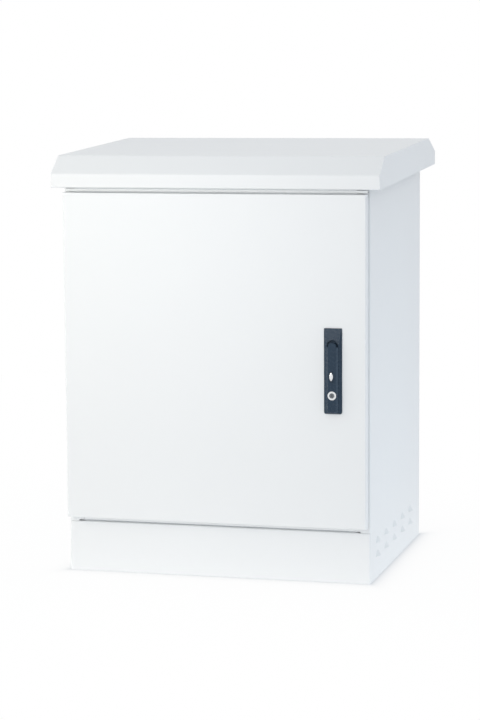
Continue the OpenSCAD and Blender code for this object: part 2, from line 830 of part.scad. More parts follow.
// Hood supports: a tapered web with a flange on the top plate and one under the hood
module hood_support(s) {
    y0 = -support_l / 2;
    y1 = support_l / 2;
    web = [[y0, roof_z], [y1, roof_z], [y1, hood_under(y1)], [y0, hood_under(y0)]];
    slope_t = support_t / cos(hood_tilt);
    flange = [
        [y0, hood_under(y0) - slope_t], [y1, hood_under(y1) - slope_t],
        [y1, hood_under(y1)], [y0, hood_under(y0)]
    ];
    color(zinc) difference() {
        translate([s * support_x, 0, 0]) {
            along_x(support_t) polygon(web);
            translate([-s * (support_w - support_t) / 2, 0, 0]) along_x(support_w) polygon(flange);
            translate([-s * (support_w - support_t) / 2 - support_w / 2, y0, roof_z])
                cube([support_w, support_l, support_t]);
        }
        hood_bolt_places() cylinder(r = hood_bolt_r + hole_play, h = 8 * sheet_t, center = true);
    }
}
module hood_support_left() { hood_support(-1); }
module hood_support_right() { hood_support(1); }

module hood_bolt_places() {
    for (s = [-1, 1])
        for (e = [-1, 1])
            translate([
                s * (support_x - support_w / 2), e * (support_l / 2 - hood_bolt_end), body_h
            ]) rotate([180, 0, 0]) children();
}
module hood_bolts() {
    color(zinc) hood_bolt_places() hex_bolt(hood_bolt_r, sheet_t + support_t + 2 * hood_bolt_r);
}

// Mounting rails: angles with three square holes to a unit
module rack_rail(y, front) {
    x0 = rail_clear / 2;
    x1 = rail_out / 2;
    path = [[x0, 0], [x1, 0], [x1, rail_d]];
    color(zinc) difference() {
        translate([0, y, rail_z]) mirror([0, front ? 0 : 1, 0]) difference() {
            linear_extrude(rail_h) folded(path, rail_t);
            for (i = [0 : rack_units - 1])
                for (h = unit_holes)
                    translate([rack_hole_pitch / 2, 0, rail_margin + i * unit + h])
                        cube([rack_hole, 4 * rail_t, rack_hole], center = true);
        }
        rail_bolt_places() cylinder(r = rail_bolt_r + hole_play, h = 8 * rail_t, center = true);
    }
}
module rail_front_left() { mirror([1, 0, 0]) rack_rail(rail_front_y, true); }
module rail_front_right() { rack_rail(rail_front_y, true); }
module rail_rear_left() { mirror([1, 0, 0]) rack_rail(rail_rear_y, false); }
module rail_rear_right() { rack_rail(rail_rear_y, false); }

// Depth struts: channels between the side panels and the rails
module strut(z) {
    path = [[inner_x, strut_h], [inner_x, 0], [rail_out / 2, 0], [rail_out / 2, strut_h]];
    color(zinc) difference() {
        translate([0, 0, z])
            along_y(rail_front_y, rail_rear_y - rail_front_y) folded(path, -rail_t);
        rail_bolt_places() cylinder(r = rail_bolt_r + hole_play, h = 8 * rail_t, center = true);
    }
}
module strut_lower_left() { mirror([1, 0, 0]) strut(strut_z[0]); }
module strut_lower_right() { strut(strut_z[0]); }
module strut_upper_left() { mirror([1, 0, 0]) strut(strut_z[1]); }
module strut_upper_right() { strut(strut_z[1]); }

module rail_bolt_places() {
    for (y = [rail_front_y + rail_bolt_in, rail_rear_y - rail_bolt_in])
        for (z = strut_z)
            translate([rail_out / 2 - rail_t, y, z + strut_bolt_share * strut_h])
                rotate([0, -90, 0]) children();
}
module rail_bolts() {
    color(zinc) for (m = [0, 1]) mirror([m, 0, 0])
        rail_bolt_places() hex_bolt(rail_bolt_r, 2 * rail_t + 2 * rail_bolt_r);
}

// Earth studs: a stud with its nut
module stud() {
    cylinder(r = stud_r, h = stud_l);
    cylinder(r = stud_r * nut_ratio, h = stud_r * nut_h_ratio, $fn = 6);
}
module earth_stud_shell() {
    color(bright) translate([inner_x - stud_in, floor_front_y + stud_in, floor_top]) stud();
}
module earth_stud_door() {
    color(bright) translate([-door_w / 2 + door_stud_in, door_in_y, door_z0 + 2 * stud_in])
        rotate([-90, 0, 0]) stud();
}

// Concealed hinges: the arm comes through the front return and carries the knuckle in the door's depth
module hinge_arm(z) {
    foot_y = front_y + sheet_t;
    color(zinc) difference() {
        translate([hinge_x, 0, z]) {
            translate([0, hinge_y, -hinge_arm_h / 2]) cylinder(r = hinge_knuckle_r, h = hinge_arm_h);
            translate([-hinge_arm_left, hinge_y, -hinge_arm_h / 2])
                cube([hinge_arm_left + hinge_knuckle_r, foot_y - hinge_y + hinge_foot_t / 2, hinge_arm_h]);
            translate([-hinge_foot_left, foot_y, -hinge_foot_h / 2])
                cube([hinge_foot_left + hinge_foot_right, hinge_foot_t, hinge_foot_h]);
        }
        translate([hinge_x, hinge_y, z]) cylinder(r = hinge_bore_r, h = 2 * hinge_arm_h, center = true);
        hinge_screw_places() cylinder(r = hinge_screw_r + hole_play, h = 6 * hinge_foot_t, center = true);
    }
}
module hinge_arm_lower() { hinge_arm(hinge_z[0]); }
module hinge_arm_upper() { hinge_arm(hinge_z[1]); }

module hinge_screw_places() {
    for (z = hinge_z)
        for (s = [-1, 1])
            translate([hinge_x, front_y + sheet_t + hinge_foot_t, z + s * hinge_screw_up])
                rotate([-90, 0, 0]) children();
}
module hinge_screws() { color(zinc) hinge_screw_places() screw(hinge_screw_r, hinge_foot_t); }

module hinge_leaf(z) {
    seat_y = door_in_y + hinge_leaf_t;
    color(zinc) difference() {
        translate([hinge_x, 0, z]) {
            translate([-hinge_leaf_left, door_in_y, -leaf_h / 2])
                cube([hinge_leaf_left + hinge_leaf_right, hinge_leaf_t, leaf_h]);
            for (m = [0, 1]) mirror([0, 0, m])
                translate([0, 0, hinge_arm_h / 2 + hinge_play]) {
                    translate([0, hinge_y, 0]) cylinder(r = hinge_knuckle_r, h = hinge_cheek_h);
                    translate([-hinge_leaf_left, seat_y - hinge_leaf_t / 2, 0]) cube([
                        2 * hinge_leaf_left, hinge_y - seat_y + hinge_leaf_t / 2, hinge_cheek_h
                    ]);
                }
        }
        translate([hinge_x, hinge_y, z]) cylinder(r = hinge_bore_r, h = 2 * leaf_h, center = true);
    }
}
module hinge_leaf_lower() { hinge_leaf(hinge_z[0]); }
module hinge_leaf_upper() { hinge_leaf(hinge_z[1]); }

module hinge_pin(z) {
    color(bright) translate([hinge_x, hinge_y, z]) {
        translate([0, 0, -leaf_h / 2]) cylinder(r = hinge_pin_r, h = leaf_h + pin_head);
        translate([0, 0, leaf_h / 2]) cylinder(r = hinge_pin_r + pin_head_lip, h = pin_head);
    }
}
module hinge_pin_lower() { hinge_pin(hinge_z[0]); }
module hinge_pin_upper() { hinge_pin(hinge_z[1]); }

// Door: a pan with lips on three returns, notched at the hinges
module door_panel() {
    lip_y = door_back_y - door_sheet_t;
    color(coat) difference() {
        union() {
            pan(door_w, door_z0, door_z1, door_front_y, door_t, door_edge_r, door_sheet_t);
            for (z = [door_z0, door_z1 - door_lip])
                translate([-door_w / 2 + hinge_inset, lip_y, z])
                    cube([door_w - hinge_inset, door_sheet_t, door_lip]);
            translate([door_w / 2 - door_lip, lip_y, door_z0]) cube([door_lip, door_sheet_t, door_h]);
        }
        for (z = hinge_z)
            translate([
                -door_w / 2 - cut, door_in_y, z - hinge_arm_h / 2 - hinge_notch_play
            ]) cube([door_sheet_t + 2 * cut, door_t, hinge_arm_h + 2 * hinge_notch_play]);
        on_door() {
            cylinder(r = boss_r + hole_play, h = 4 * door_sheet_t, center = true);
            handle_screw_places()
                cylinder(r = handle_screw_r + hole_play, h = 8 * door_sheet_t, center = true);
        }
    }
}

// Gasket: a ring on the door, set against the collar
module door_gasket() {
    mid_x = open_x - sheet_t / 2;
    low_z = open_z0 + sheet_t / 2;
    high_z = open_z1 - sheet_t / 2;
    h = collar_y - gasket_gap - door_in_y;
    e = gasket_w / 2;
    color(rubber) along_y(door_in_y, h) difference() {
        polygon(round_rect([-mid_x - e, low_z - e], [mid_x + e, high_z + e], gasket_w));
        polygon(round_rect([-mid_x + e, low_z + e], [mid_x - e, high_z - e], gasket_w / 2));
    }
}

// Stiffeners: hat sections on the door's inside
module door_stiffener(s) {
    w = stiffener_w / 2;
    foot = 10;
    path = [
        [-w - foot, 0], [-w, 0], [-w, stiffener_h], [w, stiffener_h], [w, 0], [w + foot, 0]
    ];
    color(coat) translate([s * stiffener_x, door_in_y, door_z0 + stiffener_end])
        linear_extrude(door_h - 2 * stiffener_end) folded(path, stiffener_t);
}
module door_stiffener_left() { door_stiffener(-1); }
module door_stiffener_right() { door_stiffener(1); }

// Handle pieces are drawn on the door's face about the spindle: X right, Y up, Z out of the door
module on_door() {
    translate([hub_x, door_front_y, hub_z]) rotate([90, 0, 0]) children();
}
module handle_screw_places() {
    for (y = handle_screw_y)
        translate([0, y, -door_sheet_t]) rotate([180, 0, 0]) children();
}
// A section in X and Z drawn out along Y, and one in Y and Z drawn out along X
module handle_run(y0, y1) {
    translate([0, y1, 0]) rotate([90, 0, 0]) linear_extrude(y1 - y0) children();
}

module handle_housing() {
    w = handle_w / 2;
    crown = w - housing_flank;
    top = handle_head;
    tail = handle_head - handle_l;
    color(black) on_door() difference() {
        union() {
            intersection() {
                handle_run(tail, top) polygon([
                    [-w, 0], [w, 0], [w, housing_edge], [crown, housing_h], [-crown, housing_h],
                    [-w, housing_edge]
                ]);
                along_x(handle_w) polygon([
                    [tail, 0], [top, 0], [top, housing_edge], [housing_ramp, housing_h],
                    [tail + lever_end, housing_h], [tail, housing_edge]
                ]);
                linear_extrude(housing_h) intersection() {
                    polygon(round_rect([-w, tail], [w, top + handle_w], housing_corner_r));
                    polygon(round_rect([-w, tail - handle_w], [w, top], housing_top_r));
                }
            }
            translate([0, 0, -boss_l]) cylinder(r = boss_r, h = boss_l + housing_edge / 2);
        }
        translate([0, pocket_up, pocket_floor]) cylinder(r = pocket_r, h = housing_h);
        cylinder(r = spindle_r + fit, h = 4 * boss_l, center = true);
        for (y = handle_screw_y)
            translate([0, y, -cut]) cylinder(r = handle_screw_r + fit, h = handle_screw_depth + cut);
    }
}
module handle_screws() {
    color(zinc) on_door() handle_screw_places()
        screw(handle_screw_r, door_sheet_t + handle_screw_depth - hole_play);
}

// Spindle: a round journal, a tongue for the lever outside and a square for the cam inside
module handle_spindle() {
    color(bright) on_door() difference() {
        union() {
            translate([0, 0, -boss_l - journal_end])
                cylinder(r = spindle_r, h = boss_l + journal_end + pocket_floor);
            translate([-square_w / 2, -square_w / 2, spindle_end()])
                cube([square_w, square_w, -spindle_end() - boss_l]);
            translate([-tongue_t / 2, -tongue_r, 0]) cube([tongue_t, 2 * tongue_r, lift_p]);
            translate([-tongue_t / 2, 0, lift_p]) rotate([0, 90, 0]) cylinder(r = tongue_r, h = tongue_t);
        }
        translate([0, 0, lift_p]) rotate([0, 90, 0])
            cylinder(r = lift_pin_r + fit, h = 2 * tongue_t, center = true);
    }
}
// Place of the spindle's inner end, where the cam sits
function spindle_end() = door_front_y - rod_front_y + cam_gap;

module lock_cam() {
    web = 4;
    eye_r = 5;
    hub_r = square_w + 0.5;
    places = [[pin_off, pin_off], [-pin_off, -pin_off]];
    color(zinc) on_door() translate([0, 0, spindle_end()]) difference() {
        union() {
            cylinder(r = hub_r, h = cam_t);
            rotate([0, 0, 45]) translate([-crank_r, -web, 0]) cube([2 * crank_r, 2 * web, cam_t]);
            for (p = places) translate([p[0], p[1], 0]) {
                cylinder(r = eye_r, h = cam_t);
                translate([0, 0, -cam_gap - rod_t - hole_play])
                    cylinder(r = crank_pin_r, h = rod_t + cam_gap + cam_t);
            }
        }
        cube([square_w + 2 * fit, square_w + 2 * fit, 4 * cam_t], center = true);
    }
}

// Lever: rounded at the spindle, a bar with sloping sides below
module swing_lever() {
    w = lever_w / 2;
    base = lever_base_w / 2;
    slope = base - w;
    color(black) on_door() difference() {
        union() {
            translate([0, 0, lever_base]) cylinder(r = hub_end_r, h = lever_t);
            intersection() {
                handle_run(lever_tail, lever_shoulder) polygon([
                    [-base, lever_base], [base, lever_base], [base, lever_base + lever_edge], [w, lever_face],
                    [-w, lever_face], [-base, lever_base + lever_edge]
                ]);
                along_x(lever_base_w) polygon([
                    [lever_tail, lever_base], [lever_shoulder, lever_base], [lever_shoulder, lever_face],
                    [lever_tail + slope, lever_face], [lever_tail, lever_base + lever_edge]
                ]);
                linear_extrude(lever_face)
                    polygon(round_rect([-base, lever_tail], [base, handle_head], housing_corner_r));
            }
            translate([-w, lever_shoulder - slope, lever_base])
                cube([lever_w, slope - lever_shoulder, lever_t]);
            translate([0, -lock_down, lever_base]) cylinder(r = lock_boss_r, h = lever_t);
        }
        translate([0, -lock_down, 0]) cylinder(r = barrel_r + fit, h = 2 * lever_face);
        translate([0, -eye_down, lever_face - eye_depth]) eye(eye_l, eye_w, 2 * eye_depth);
        tongue_room = tongue_r + tongue_gap;
        translate([-tongue_t / 2 - tongue_gap, -slot_reach, 0])
            cube([tongue_t + 2 * tongue_gap, 2 * slot_reach, lift_p + tongue_room]);
        translate([0, 0, lift_p]) rotate([0, 90, 0])
            cylinder(r = lift_pin_r + fit, h = 2 * lever_base_w, center = true);
    }
}

// A pointed oval prism: where two cylinders cross
module eye(l, w, h) {
    r = (l * l + w * w) / (4 * w);
    intersection() {
        translate([r - w / 2, 0, 0]) cylinder(r = r, h = h);
        translate([w / 2 - r, 0, 0]) cylinder(r = r, h = h);
    }
}

module lift_pin() {
    l = 2 * hub_end_r - 1;
    color(bright) on_door() translate([-l / 2, 0, lift_p]) rotate([0, 90, 0]) cylinder(r = lift_pin_r, h = l);
}
module lever_insert() {
    color(bright) on_door() translate([-insert_left, -eye_down, lever_face - eye_depth])
        eye(eye_l - 2 * eye_rim, eye_w - 2 * eye_rim, eye_depth * insert_share);
}
module lock_barrel() {
    color(bright) on_door() translate([0, -lock_down, lever_base]) difference() {
        cylinder(r = barrel_r, h = lever_t + barrel_rim);
        translate([0, 0, -cut]) cylinder(r = plug_r + fit, h = 2 * lever_t);
    }
}
module key_plug() {
    color(bright) on_door() translate([0, -lock_down, lever_base]) difference() {
        cylinder(r = plug_r, h = lever_t + barrel_rim - plug_recess);
        translate([-key_slot_w / 2, -key_slot_l / 2, cut]) cube([key_slot_w, key_slot_l, 2 * lever_t]);
    }
}

// Lock rods: flat bars with a level slot for a drive pin and a tapered tip
module rod(s, tip_z) {
    slot_z = hub_z + s * pin_off;
    root_z = slot_z - s * rod_foot;
    w = rod_w / 2;
    tip = rod_w / 4;
    slot_w = crank_r - pin_off + 2 * (crank_pin_r + slot_play);
    slot_h = 2 * (crank_pin_r + slot_play);
    color(zinc) translate([hub_x + s * rod_off, 0, 0]) along_y(rod_front_y, rod_t) difference() {
        polygon([
            [-w, root_z], [w, root_z], [w, tip_z - s * rod_taper], [tip, tip_z], [-tip, tip_z],
            [-w, tip_z - s * rod_taper]
        ]);
        translate([-slot_w / 2, slot_z - slot_h / 2]) square([slot_w, slot_h]);
    }
}
module upper_rod() { rod(1, rod_top_z); }
module lower_rod() { rod(-1, rod_low_z); }

// Rod guides: blocks on the door that the rods slide through
module rod_guide(s, z) {
    w = rod_w + 2 * (guide_gap + guide_wall);
    back = rod_front_y + rod_t + guide_gap + guide_wall / 2;
    neck = rod_w + 2 * guide_gap;
    color(rubber) translate([hub_x + s * rod_off, 0, z - guide_h / 2]) difference() {
        linear_extrude(guide_h) difference() {
            polygon([
                [-w / 2, door_in_y], [w / 2, door_in_y], [w / 2, back], [-w / 2, back]
            ]);
            translate([-neck / 2, rod_front_y - guide_gap]) square([neck, rod_t + 2 * guide_gap]);
            translate([-neck / 2, door_in_y + guide_wall])
                square([neck, rod_front_y - door_in_y - 2 * guide_wall]);
        }
    }
}
module rod_guide_upper() { rod_guide(1, open_z1 - guide_end); }
module rod_guide_lower() { rod_guide(-1, open_z0 + guide_end); }

side_panel_left();
side_panel_right();
back_panel();
back_panel_screws();
header_rail();
sill_rail();
rain_channel();
top_plate();
floor_plate();
gland_plate();
gland_screws();
cable_grommets();
plinth_cover();
plinth_screws();
anchor_feet();
intake_filter_left();
intake_filter_right();
roof_hood();
hood_support_left();
hood_support_right();
hood_bolts();
rail_front_left();
rail_front_right();
rail_rear_left();
rail_rear_right();
strut_lower_left();
strut_lower_right();
strut_upper_left();
strut_upper_right();
rail_bolts();
earth_stud_shell();
hinge_arm_lower();
hinge_arm_upper();
hinge_screws();
door_panel();
door_gasket();
door_stiffener_left();
door_stiffener_right();
hinge_leaf_lower();
hinge_leaf_upper();
hinge_pin_lower();
hinge_pin_upper();
rod_guide_lower();
rod_guide_upper();
earth_stud_door();
handle_housing();
handle_screws();
handle_spindle();
lock_cam();
swing_lever();
lift_pin();
lever_insert();
lock_barrel();
key_plug();
lower_rod();
upper_rod();
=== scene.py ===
"""Roadside utility cabinet: finishes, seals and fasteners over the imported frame, and a studio around it."""
import math

import bmesh
import bpy
import numpy as np
from mathutils import Matrix, Vector


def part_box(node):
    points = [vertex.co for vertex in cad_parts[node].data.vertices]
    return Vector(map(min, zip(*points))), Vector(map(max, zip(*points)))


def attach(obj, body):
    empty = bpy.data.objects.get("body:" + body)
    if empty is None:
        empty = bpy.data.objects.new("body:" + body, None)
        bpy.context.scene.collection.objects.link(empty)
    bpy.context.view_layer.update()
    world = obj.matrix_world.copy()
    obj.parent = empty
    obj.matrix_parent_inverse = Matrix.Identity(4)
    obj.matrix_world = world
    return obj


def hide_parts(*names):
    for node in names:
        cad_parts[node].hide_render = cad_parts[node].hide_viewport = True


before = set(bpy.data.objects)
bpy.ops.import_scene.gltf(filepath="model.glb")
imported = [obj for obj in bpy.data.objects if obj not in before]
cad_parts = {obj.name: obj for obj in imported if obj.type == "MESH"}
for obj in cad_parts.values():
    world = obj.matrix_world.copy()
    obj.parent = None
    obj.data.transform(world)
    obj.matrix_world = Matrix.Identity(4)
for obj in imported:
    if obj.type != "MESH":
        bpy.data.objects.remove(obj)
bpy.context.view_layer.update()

bl_info = {
    "name": "Roadside Utility Cabinet",
    "version": (1, 0, 0),
    "blender": (4, 5, 0),
    "location": "3D View > Sidebar > Cabinet",
    "description": "Finishes, seals and fasteners of a folded steel street cabinet, and its studio",
    "category": "Object",
}

MM = 0.001
MICRON = 1e-6
TURN = 2 * math.pi
WHITE = (1, 1, 1, 1)

# Nodes by what they are made of
SHEET_STEEL = (
    "side_panel_left", "side_panel_right", "back_panel", "header_rail", "sill_rail", "rain_channel", "top_plate",
    "floor_plate", "plinth_cover", "roof_hood", "door_panel", "door_stiffener_left", "door_stiffener_right",
)
ZINC_FITTINGS = (
    "gland_plate", "anchor_feet", "hood_support_left", "hood_support_right", "rail_front_left",
    "rail_front_right", "rail_rear_left", "rail_rear_right", "strut_lower_left", "strut_lower_right",
    "strut_upper_left", "strut_upper_right", "hinge_arm_lower", "hinge_arm_upper", "hinge_leaf_lower",
    "hinge_leaf_upper", "lock_cam", "upper_rod", "lower_rod",
)
TURNED_STEEL = ("hinge_pin_lower", "hinge_pin_upper", "handle_spindle", "lift_pin")
MOULDED_HANDLE = ("handle_housing", "swing_lever")
ACETAL_GUIDES = ("rod_guide_lower", "rod_guide_upper")
FILTER_PADS = ("intake_filter_left", "intake_filter_right")

# Pan head screws and earth studs: node, the body they ride on, and the way they face
PAN_SCREWS = (
    ("back_panel_screws", "shell", (0, -1, 0)),
    ("gland_screws", "shell", (0, 0, 1)),
    ("plinth_screws", "shell", (0, 0, 1)),
    ("hinge_screws", "shell", (0, 1, 0)),
    ("handle_screws", "door", (0, 1, 0)),
)
EARTH_STUDS = (
    ("earth_stud_shell", "shell", (0, 0, 1)),
    ("earth_stud_door", "door", (0, 1, 0)),
)

# Half widths and heights of heads and nuts, in half widths of the shank
PAN_WIDTH, PAN_RISE = 1.7, 1.1
BOLT_WIDTH, BOLT_RISE = 2.0, 1.3
NUT_WIDTH, NUT_RISE = 1.85, 1.6
# A hexagon's top is chamfered from a circle that is this share of its width over the flats
CHAMFER, CHAMFER_CIRCLE = math.radians(30), 0.94
# A flanged nut: its hexagon as a share of the flange's width, the heights of rim and cone as shares of the nut
FLANGE_HEXAGON, FLANGE_RIM, FLANGE_CONE = 0.94, 0.14, 0.3
# A thread's depth and its run-out at the tip in pitches, and the tip as a share of the shank
THREAD_DEPTH, RUN_OUT, TIP = 0.6, 0.4, 0.8
# Angles of a fastener's rings
ROUND = np.linspace(0, TURN, 48, endpoint=False)

# The seal's bead: its width, the power that squares its section, and the width of the groove on its crest
SEAL_WIDTH, SEAL_POWER, GROOVE_WIDTH = 14 * MM, 2.6, 1.1 * MM

# Foam strips: laps over the channel's lip and behind the hood's edge, gaps to the door's top, back and free edge,
# how far the hood's strip stands out of the channel, and how far strips end short of the corners
LIP_LAP, HOOD_LAP = 0.1 * MM, 0.3 * MM
TOP_GAP, BACK_GAP, EDGE_GAP = 0.45 * MM, 0.4 * MM, 0.3 * MM
HOOD_STRIP_OUT = 1 * MM
SHORT_ACROSS, SHORT_UPRIGHT = 20 * MM, 6 * MM

# Width of the camera's sensor in millimetres
SENSOR = 36
# The room, by the parts of a direction: where left wall turns to right, and where the ceiling starts and is full
WALL_BLEND, CEILING_START, CEILING_FULL = 0.6, 0.3, 0.95
# Radii of the floor's rings in metres
FLOOR_RINGS = (0.001, 0.5, 1, 2, 4, 8, 16, 40)
# Lamps: name, the setting that holds the power, colour, width, spread in degrees, place and the point it faces
LAMPS = (
    ("key_lamp", "key", "#FFF4DC", 0.8, 180, (-1.05, -1.25, 1.0), (-0.1, -0.25, 0.5)),
    ("front_lamp", "front", "#FFFFFF", 0.5, 36, (-0.8, -3.1, 1.08), (-0.08, -0.27, 0.68)),
    ("fill_lamp", "fill", "#CBE9FF", 0.5, 180, (1.35, -0.2, 0.28), (0.3, 0.0, 0.05)),
)


def linear(code):
    """Linear red, green and blue of an sRGB hex colour, by the sRGB curve."""
    part = np.array([int(code[i:i + 2], 16) for i in (1, 3, 5)]) / 255
    return tuple(np.where(part <= 0.04045, part / 12.92, ((part + 0.055) / 1.055) ** 2.4).tolist())


def rgba(colour, share=1.0):
    """A colour as a socket's four numbers, darkened to a share of itself."""
    return tuple(share * c for c in colour) + (1.0,)


def add(tree, kind, sockets=None, **settings):
    """Adds a shader node: settings are its own values, sockets its inputs, set or linked by name or place."""
    node = tree.nodes.new("ShaderNode" + kind)
    for key, value in settings.items():
        setattr(node, key, value)
    for key, value in (sockets or {}).items():
        if isinstance(value, bpy.types.NodeSocket):
            tree.links.new(value, node.inputs[key])
        else:
            node.inputs[key].default_value = value
    return node


def empty_tree(name):
    """A new material and its empty node tree."""
    material = bpy.data.materials.new(name)
    material.use_nodes = True
    material.node_tree.nodes.clear()
    return material, material.node_tree


def patterned(name, colour, *, cloud, darkest, grain, strength, depth, touch, rough, inputs,
              details=(2, 2, 2), stretch=(1, 1, 1)):
    """A material with three patterns on Object coordinates, whose sizes in metres are cloud, grain and touch.

    Clouds darken the colour to a share of itself, grain is raised to a depth and can be stretched into lines,
    and touch moves the roughness between two values. inputs are further values of the shader.
    """
    material, tree = empty_tree(name)
    place = add(tree, "TexCoord").outputs["Object"]
    drawn = add(tree, "Mapping", {"Vector": place, "Scale": stretch}).outputs[0]
    clouds, grains, touches = (
        add(tree, "TexNoise", {"Vector": where, "Scale": 1 / size, "Detail": detail}).outputs[0]
        for where, size, detail in zip((place, drawn, place), (cloud, grain, touch), details))
    tone = add(tree, "Mix", {0: clouds, 6: rgba(colour), 7: rgba(colour, darkest)}, data_type="RGBA")
    relief = add(tree, "Bump", {"Height": grains, "Strength": strength, "Distance": depth})
    sheen = add(tree, "MapRange", {"Value": touches, "To Min": rough[0], "To Max": rough[1]})
    shader = add(tree, "BsdfPrincipled", {
        "Base Color": tone.outputs[2], "Roughness": sheen.outputs[0], "Normal": relief.outputs[0], **inputs})
    add(tree, "OutputMaterial", {"Surface": shader.outputs[0]})
    return material


def powder_coat(colour):
    """Polyester powder coat, sprayed and baked: satin, with the faint ripple of orange peel."""
    # the tone drifts over a hand's breadth, as film thickness does;
    # orange peel lumps are about 1.5 mm wide and drawn at 3 mm, as coarse as they need to be to show
    return patterned(
        "polyester_powder_coat_baked_satin", colour, cloud=160 * MM, darkest=0.985, grain=3 * MM, strength=0.12,
        depth=0.05 * MM, touch=22 * MM, rough=(0.36, 0.46), inputs={"IOR": 1.5})


def zinc_plate(colour):
    """Zinc plated and clear passivated steel: a soft bluish metal with the cloudy patches of the bath."""
    # rolling lines of the strip, finer than a pixel and drawn 0.8 mm apart
    return patterned(
        "zinc_plated_steel_passivated", colour, cloud=14 * MM, darkest=0.86, grain=0.8 * MM, strength=0.1,
        depth=0.02 * MM, touch=9 * MM, rough=(0.28, 0.44), inputs={"Metallic": 1.0}, details=(4, 2, 3),
        stretch=(1, 1, 0.04))


def turned_metal(name, colour, feed, rough):
    """Bar turned on a lathe: bright metal with fine tool rings across the axis, feed apart."""
    return patterned(
        name, colour, cloud=3 * MM, darkest=0.9, grain=feed, strength=0.15, depth=0.01 * MM, touch=2 * MM,
        rough=(rough - 0.06, rough + 0.06), inputs={"Metallic": 1.0}, details=(3, 1, 2), stretch=(0.05, 0.05, 1))


def satin_chrome(colour):
    """Die cast zinc, polished and satin chromed: bright, slightly blurred, faintly clouded by handling."""
    # brushing lines of 0.05 mm, drawn at 0.3 mm so that they show
    return patterned(
        "die_cast_zinc_satin_chromed", colour, cloud=4 * MM, darkest=0.94, grain=0.3 * MM, strength=0.08,
        depth=0.01 * MM, touch=1.5 * MM, rough=(0.2, 0.3), inputs={"Metallic": 1.0}, details=(2, 2, 3),
        stretch=(0.1, 1, 1))


def moulded_polyamide(colour):
    """Glass filled polyamide, moulded in an eroded tool: dark slate with a low gloss and a fine spark texture."""
    # spark texture of 0.3 mm, drawn at 0.6 mm so that it shows
    return patterned(
        "glass_filled_polyamide_moulded", colour, cloud=6 * MM, darkest=0.9, grain=0.6 * MM, strength=0.25,
        depth=0.03 * MM, touch=5 * MM, rough=(0.24, 0.3), inputs={"IOR": 1.53, "Specular IOR Level": 0.15},
        details=(3, 3, 2))


def moulded_acetal(colour):
    """Acetal, moulded: a slippery black plastic, smoother than the handle's."""
    # flow lines about a millimetre apart
    return patterned(
        "acetal_moulded_black", colour, cloud=5 * MM, darkest=0.85, grain=1.2 * MM, strength=0.12,
        depth=0.02 * MM, touch=4 * MM, rough=(0.3, 0.4), inputs={"IOR": 1.48})


def cellular_seal(name, colour, cell, depth, rough):
    """Sealing rubber or foam: matt, its skin pitted by cells of the given size and depth."""
    return patterned(
        name, colour, cloud=3 * cell, darkest=0.8, grain=cell, strength=0.5, depth=depth, touch=4 * cell,
        rough=(rough - 0.08, rough), inputs={"IOR": 1.45}, details=(3, 3, 2))


def filter_mat(colour):
    """Polyester filter mat, needled: a grey felt whose fibres lie in all directions."""
    material, tree = empty_tree("polyester_filter_mat_needled")
    place = add(tree, "TexCoord").outputs["Object"]
    # fibres of 0.05 mm, drawn at 0.4 mm so that they show, along Y and along Z
    drawn = (add(tree, "Mapping", {"Vector": place, "Scale": scale}) for scale in ((1, 0.15, 1), (1, 1, 0.15)))
    along, across = (
        add(tree, "TexNoise", {"Vector": way.outputs[0], "Scale": 1 / (0.4 * MM), "Detail": 3}) for way in drawn)
    felt = add(tree, "Math", {0: along.outputs[0], 1: across.outputs[0]}, operation="MAXIMUM").outputs[0]
    # painted light and shade: the tops of the fibres are painted lighter, as if they caught the light, and it is
    # painted dark between them
    tone = add(tree, "Mix", {0: felt, 6: rgba(colour, 0.55), 7: rgba(colour, 1.3)}, data_type="RGBA")
    fluff = add(tree, "Bump", {"Height": felt, "Strength": 0.7, "Distance": 0.3 * MM})
    shader = add(tree, "BsdfPrincipled", {
        "Base Color": tone.outputs[2], "Roughness": 0.95, "Normal": fluff.outputs[0], "IOR": 1.45})
    add(tree, "OutputMaterial", {"Surface": shader.outputs[0]})
    return material


def seen_straight(tree):
    """A socket that is 1 for what the eye sees, also in mirrors and through glass, and 0 for light on things."""
    path = add(tree, "LightPath").outputs
    seen = add(tree, "Math", {0: path["Is Camera Ray"], 1: path["Is Glossy Ray"]}, operation="MAXIMUM").outputs[0]
    return add(tree, "Math", {0: seen, 1: path["Is Transmission Ray"]}, operation="MAXIMUM").outputs[0]


def coat_nodes(names, material):
    """Gives CAD nodes a finish."""
    for name in names:
        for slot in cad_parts[name].material_slots:
            slot.material = material


def surface(name, points, wrap_rows=False, wrap_columns=False, crease=40):
    """Mesh object of one or more grids, points[copy, row, column] = (x, y, z).

    Neighbouring rows and columns make quads, wrapped directions close on themselves, points that meet at
    poles and seams are merged and faces turned outwards. Edges sharper than crease degrees stay sharp.
    """
    copies, rows, columns = points.shape[:3]
    index = np.arange(copies * rows * columns).reshape(copies, rows, columns)
    k, r, c = np.meshgrid(
        np.arange(copies), np.arange(rows - (not wrap_rows)), np.arange(columns - (not wrap_columns)), indexing="ij")
    below, right = (r + 1) % rows, (c + 1) % columns
    quads = np.stack([index[k, r, c], index[k, below, c], index[k, below, right], index[k, r, right]], axis=-1)
    mesh = bpy.data.meshes.new(name)
    mesh.from_pydata(points.reshape(-1, 3).tolist(), [], quads.reshape(-1, 4).tolist())
    work = bmesh.new()
    work.from_mesh(mesh)
    bmesh.ops.remove_doubles(work, verts=work.verts, dist=MICRON)
    bmesh.ops.dissolve_degenerate(work, edges=work.edges, dist=0.1 * MICRON)
    bmesh.ops.recalc_face_normals(work, faces=work.faces)
    work.to_mesh(mesh)
    work.free()
    mesh.shade_smooth()
    mesh.set_sharp_from_angle(angle=math.radians(crease))
    piece = bpy.data.objects.new(name, mesh)
    bpy.context.scene.collection.objects.link(piece)
    return piece


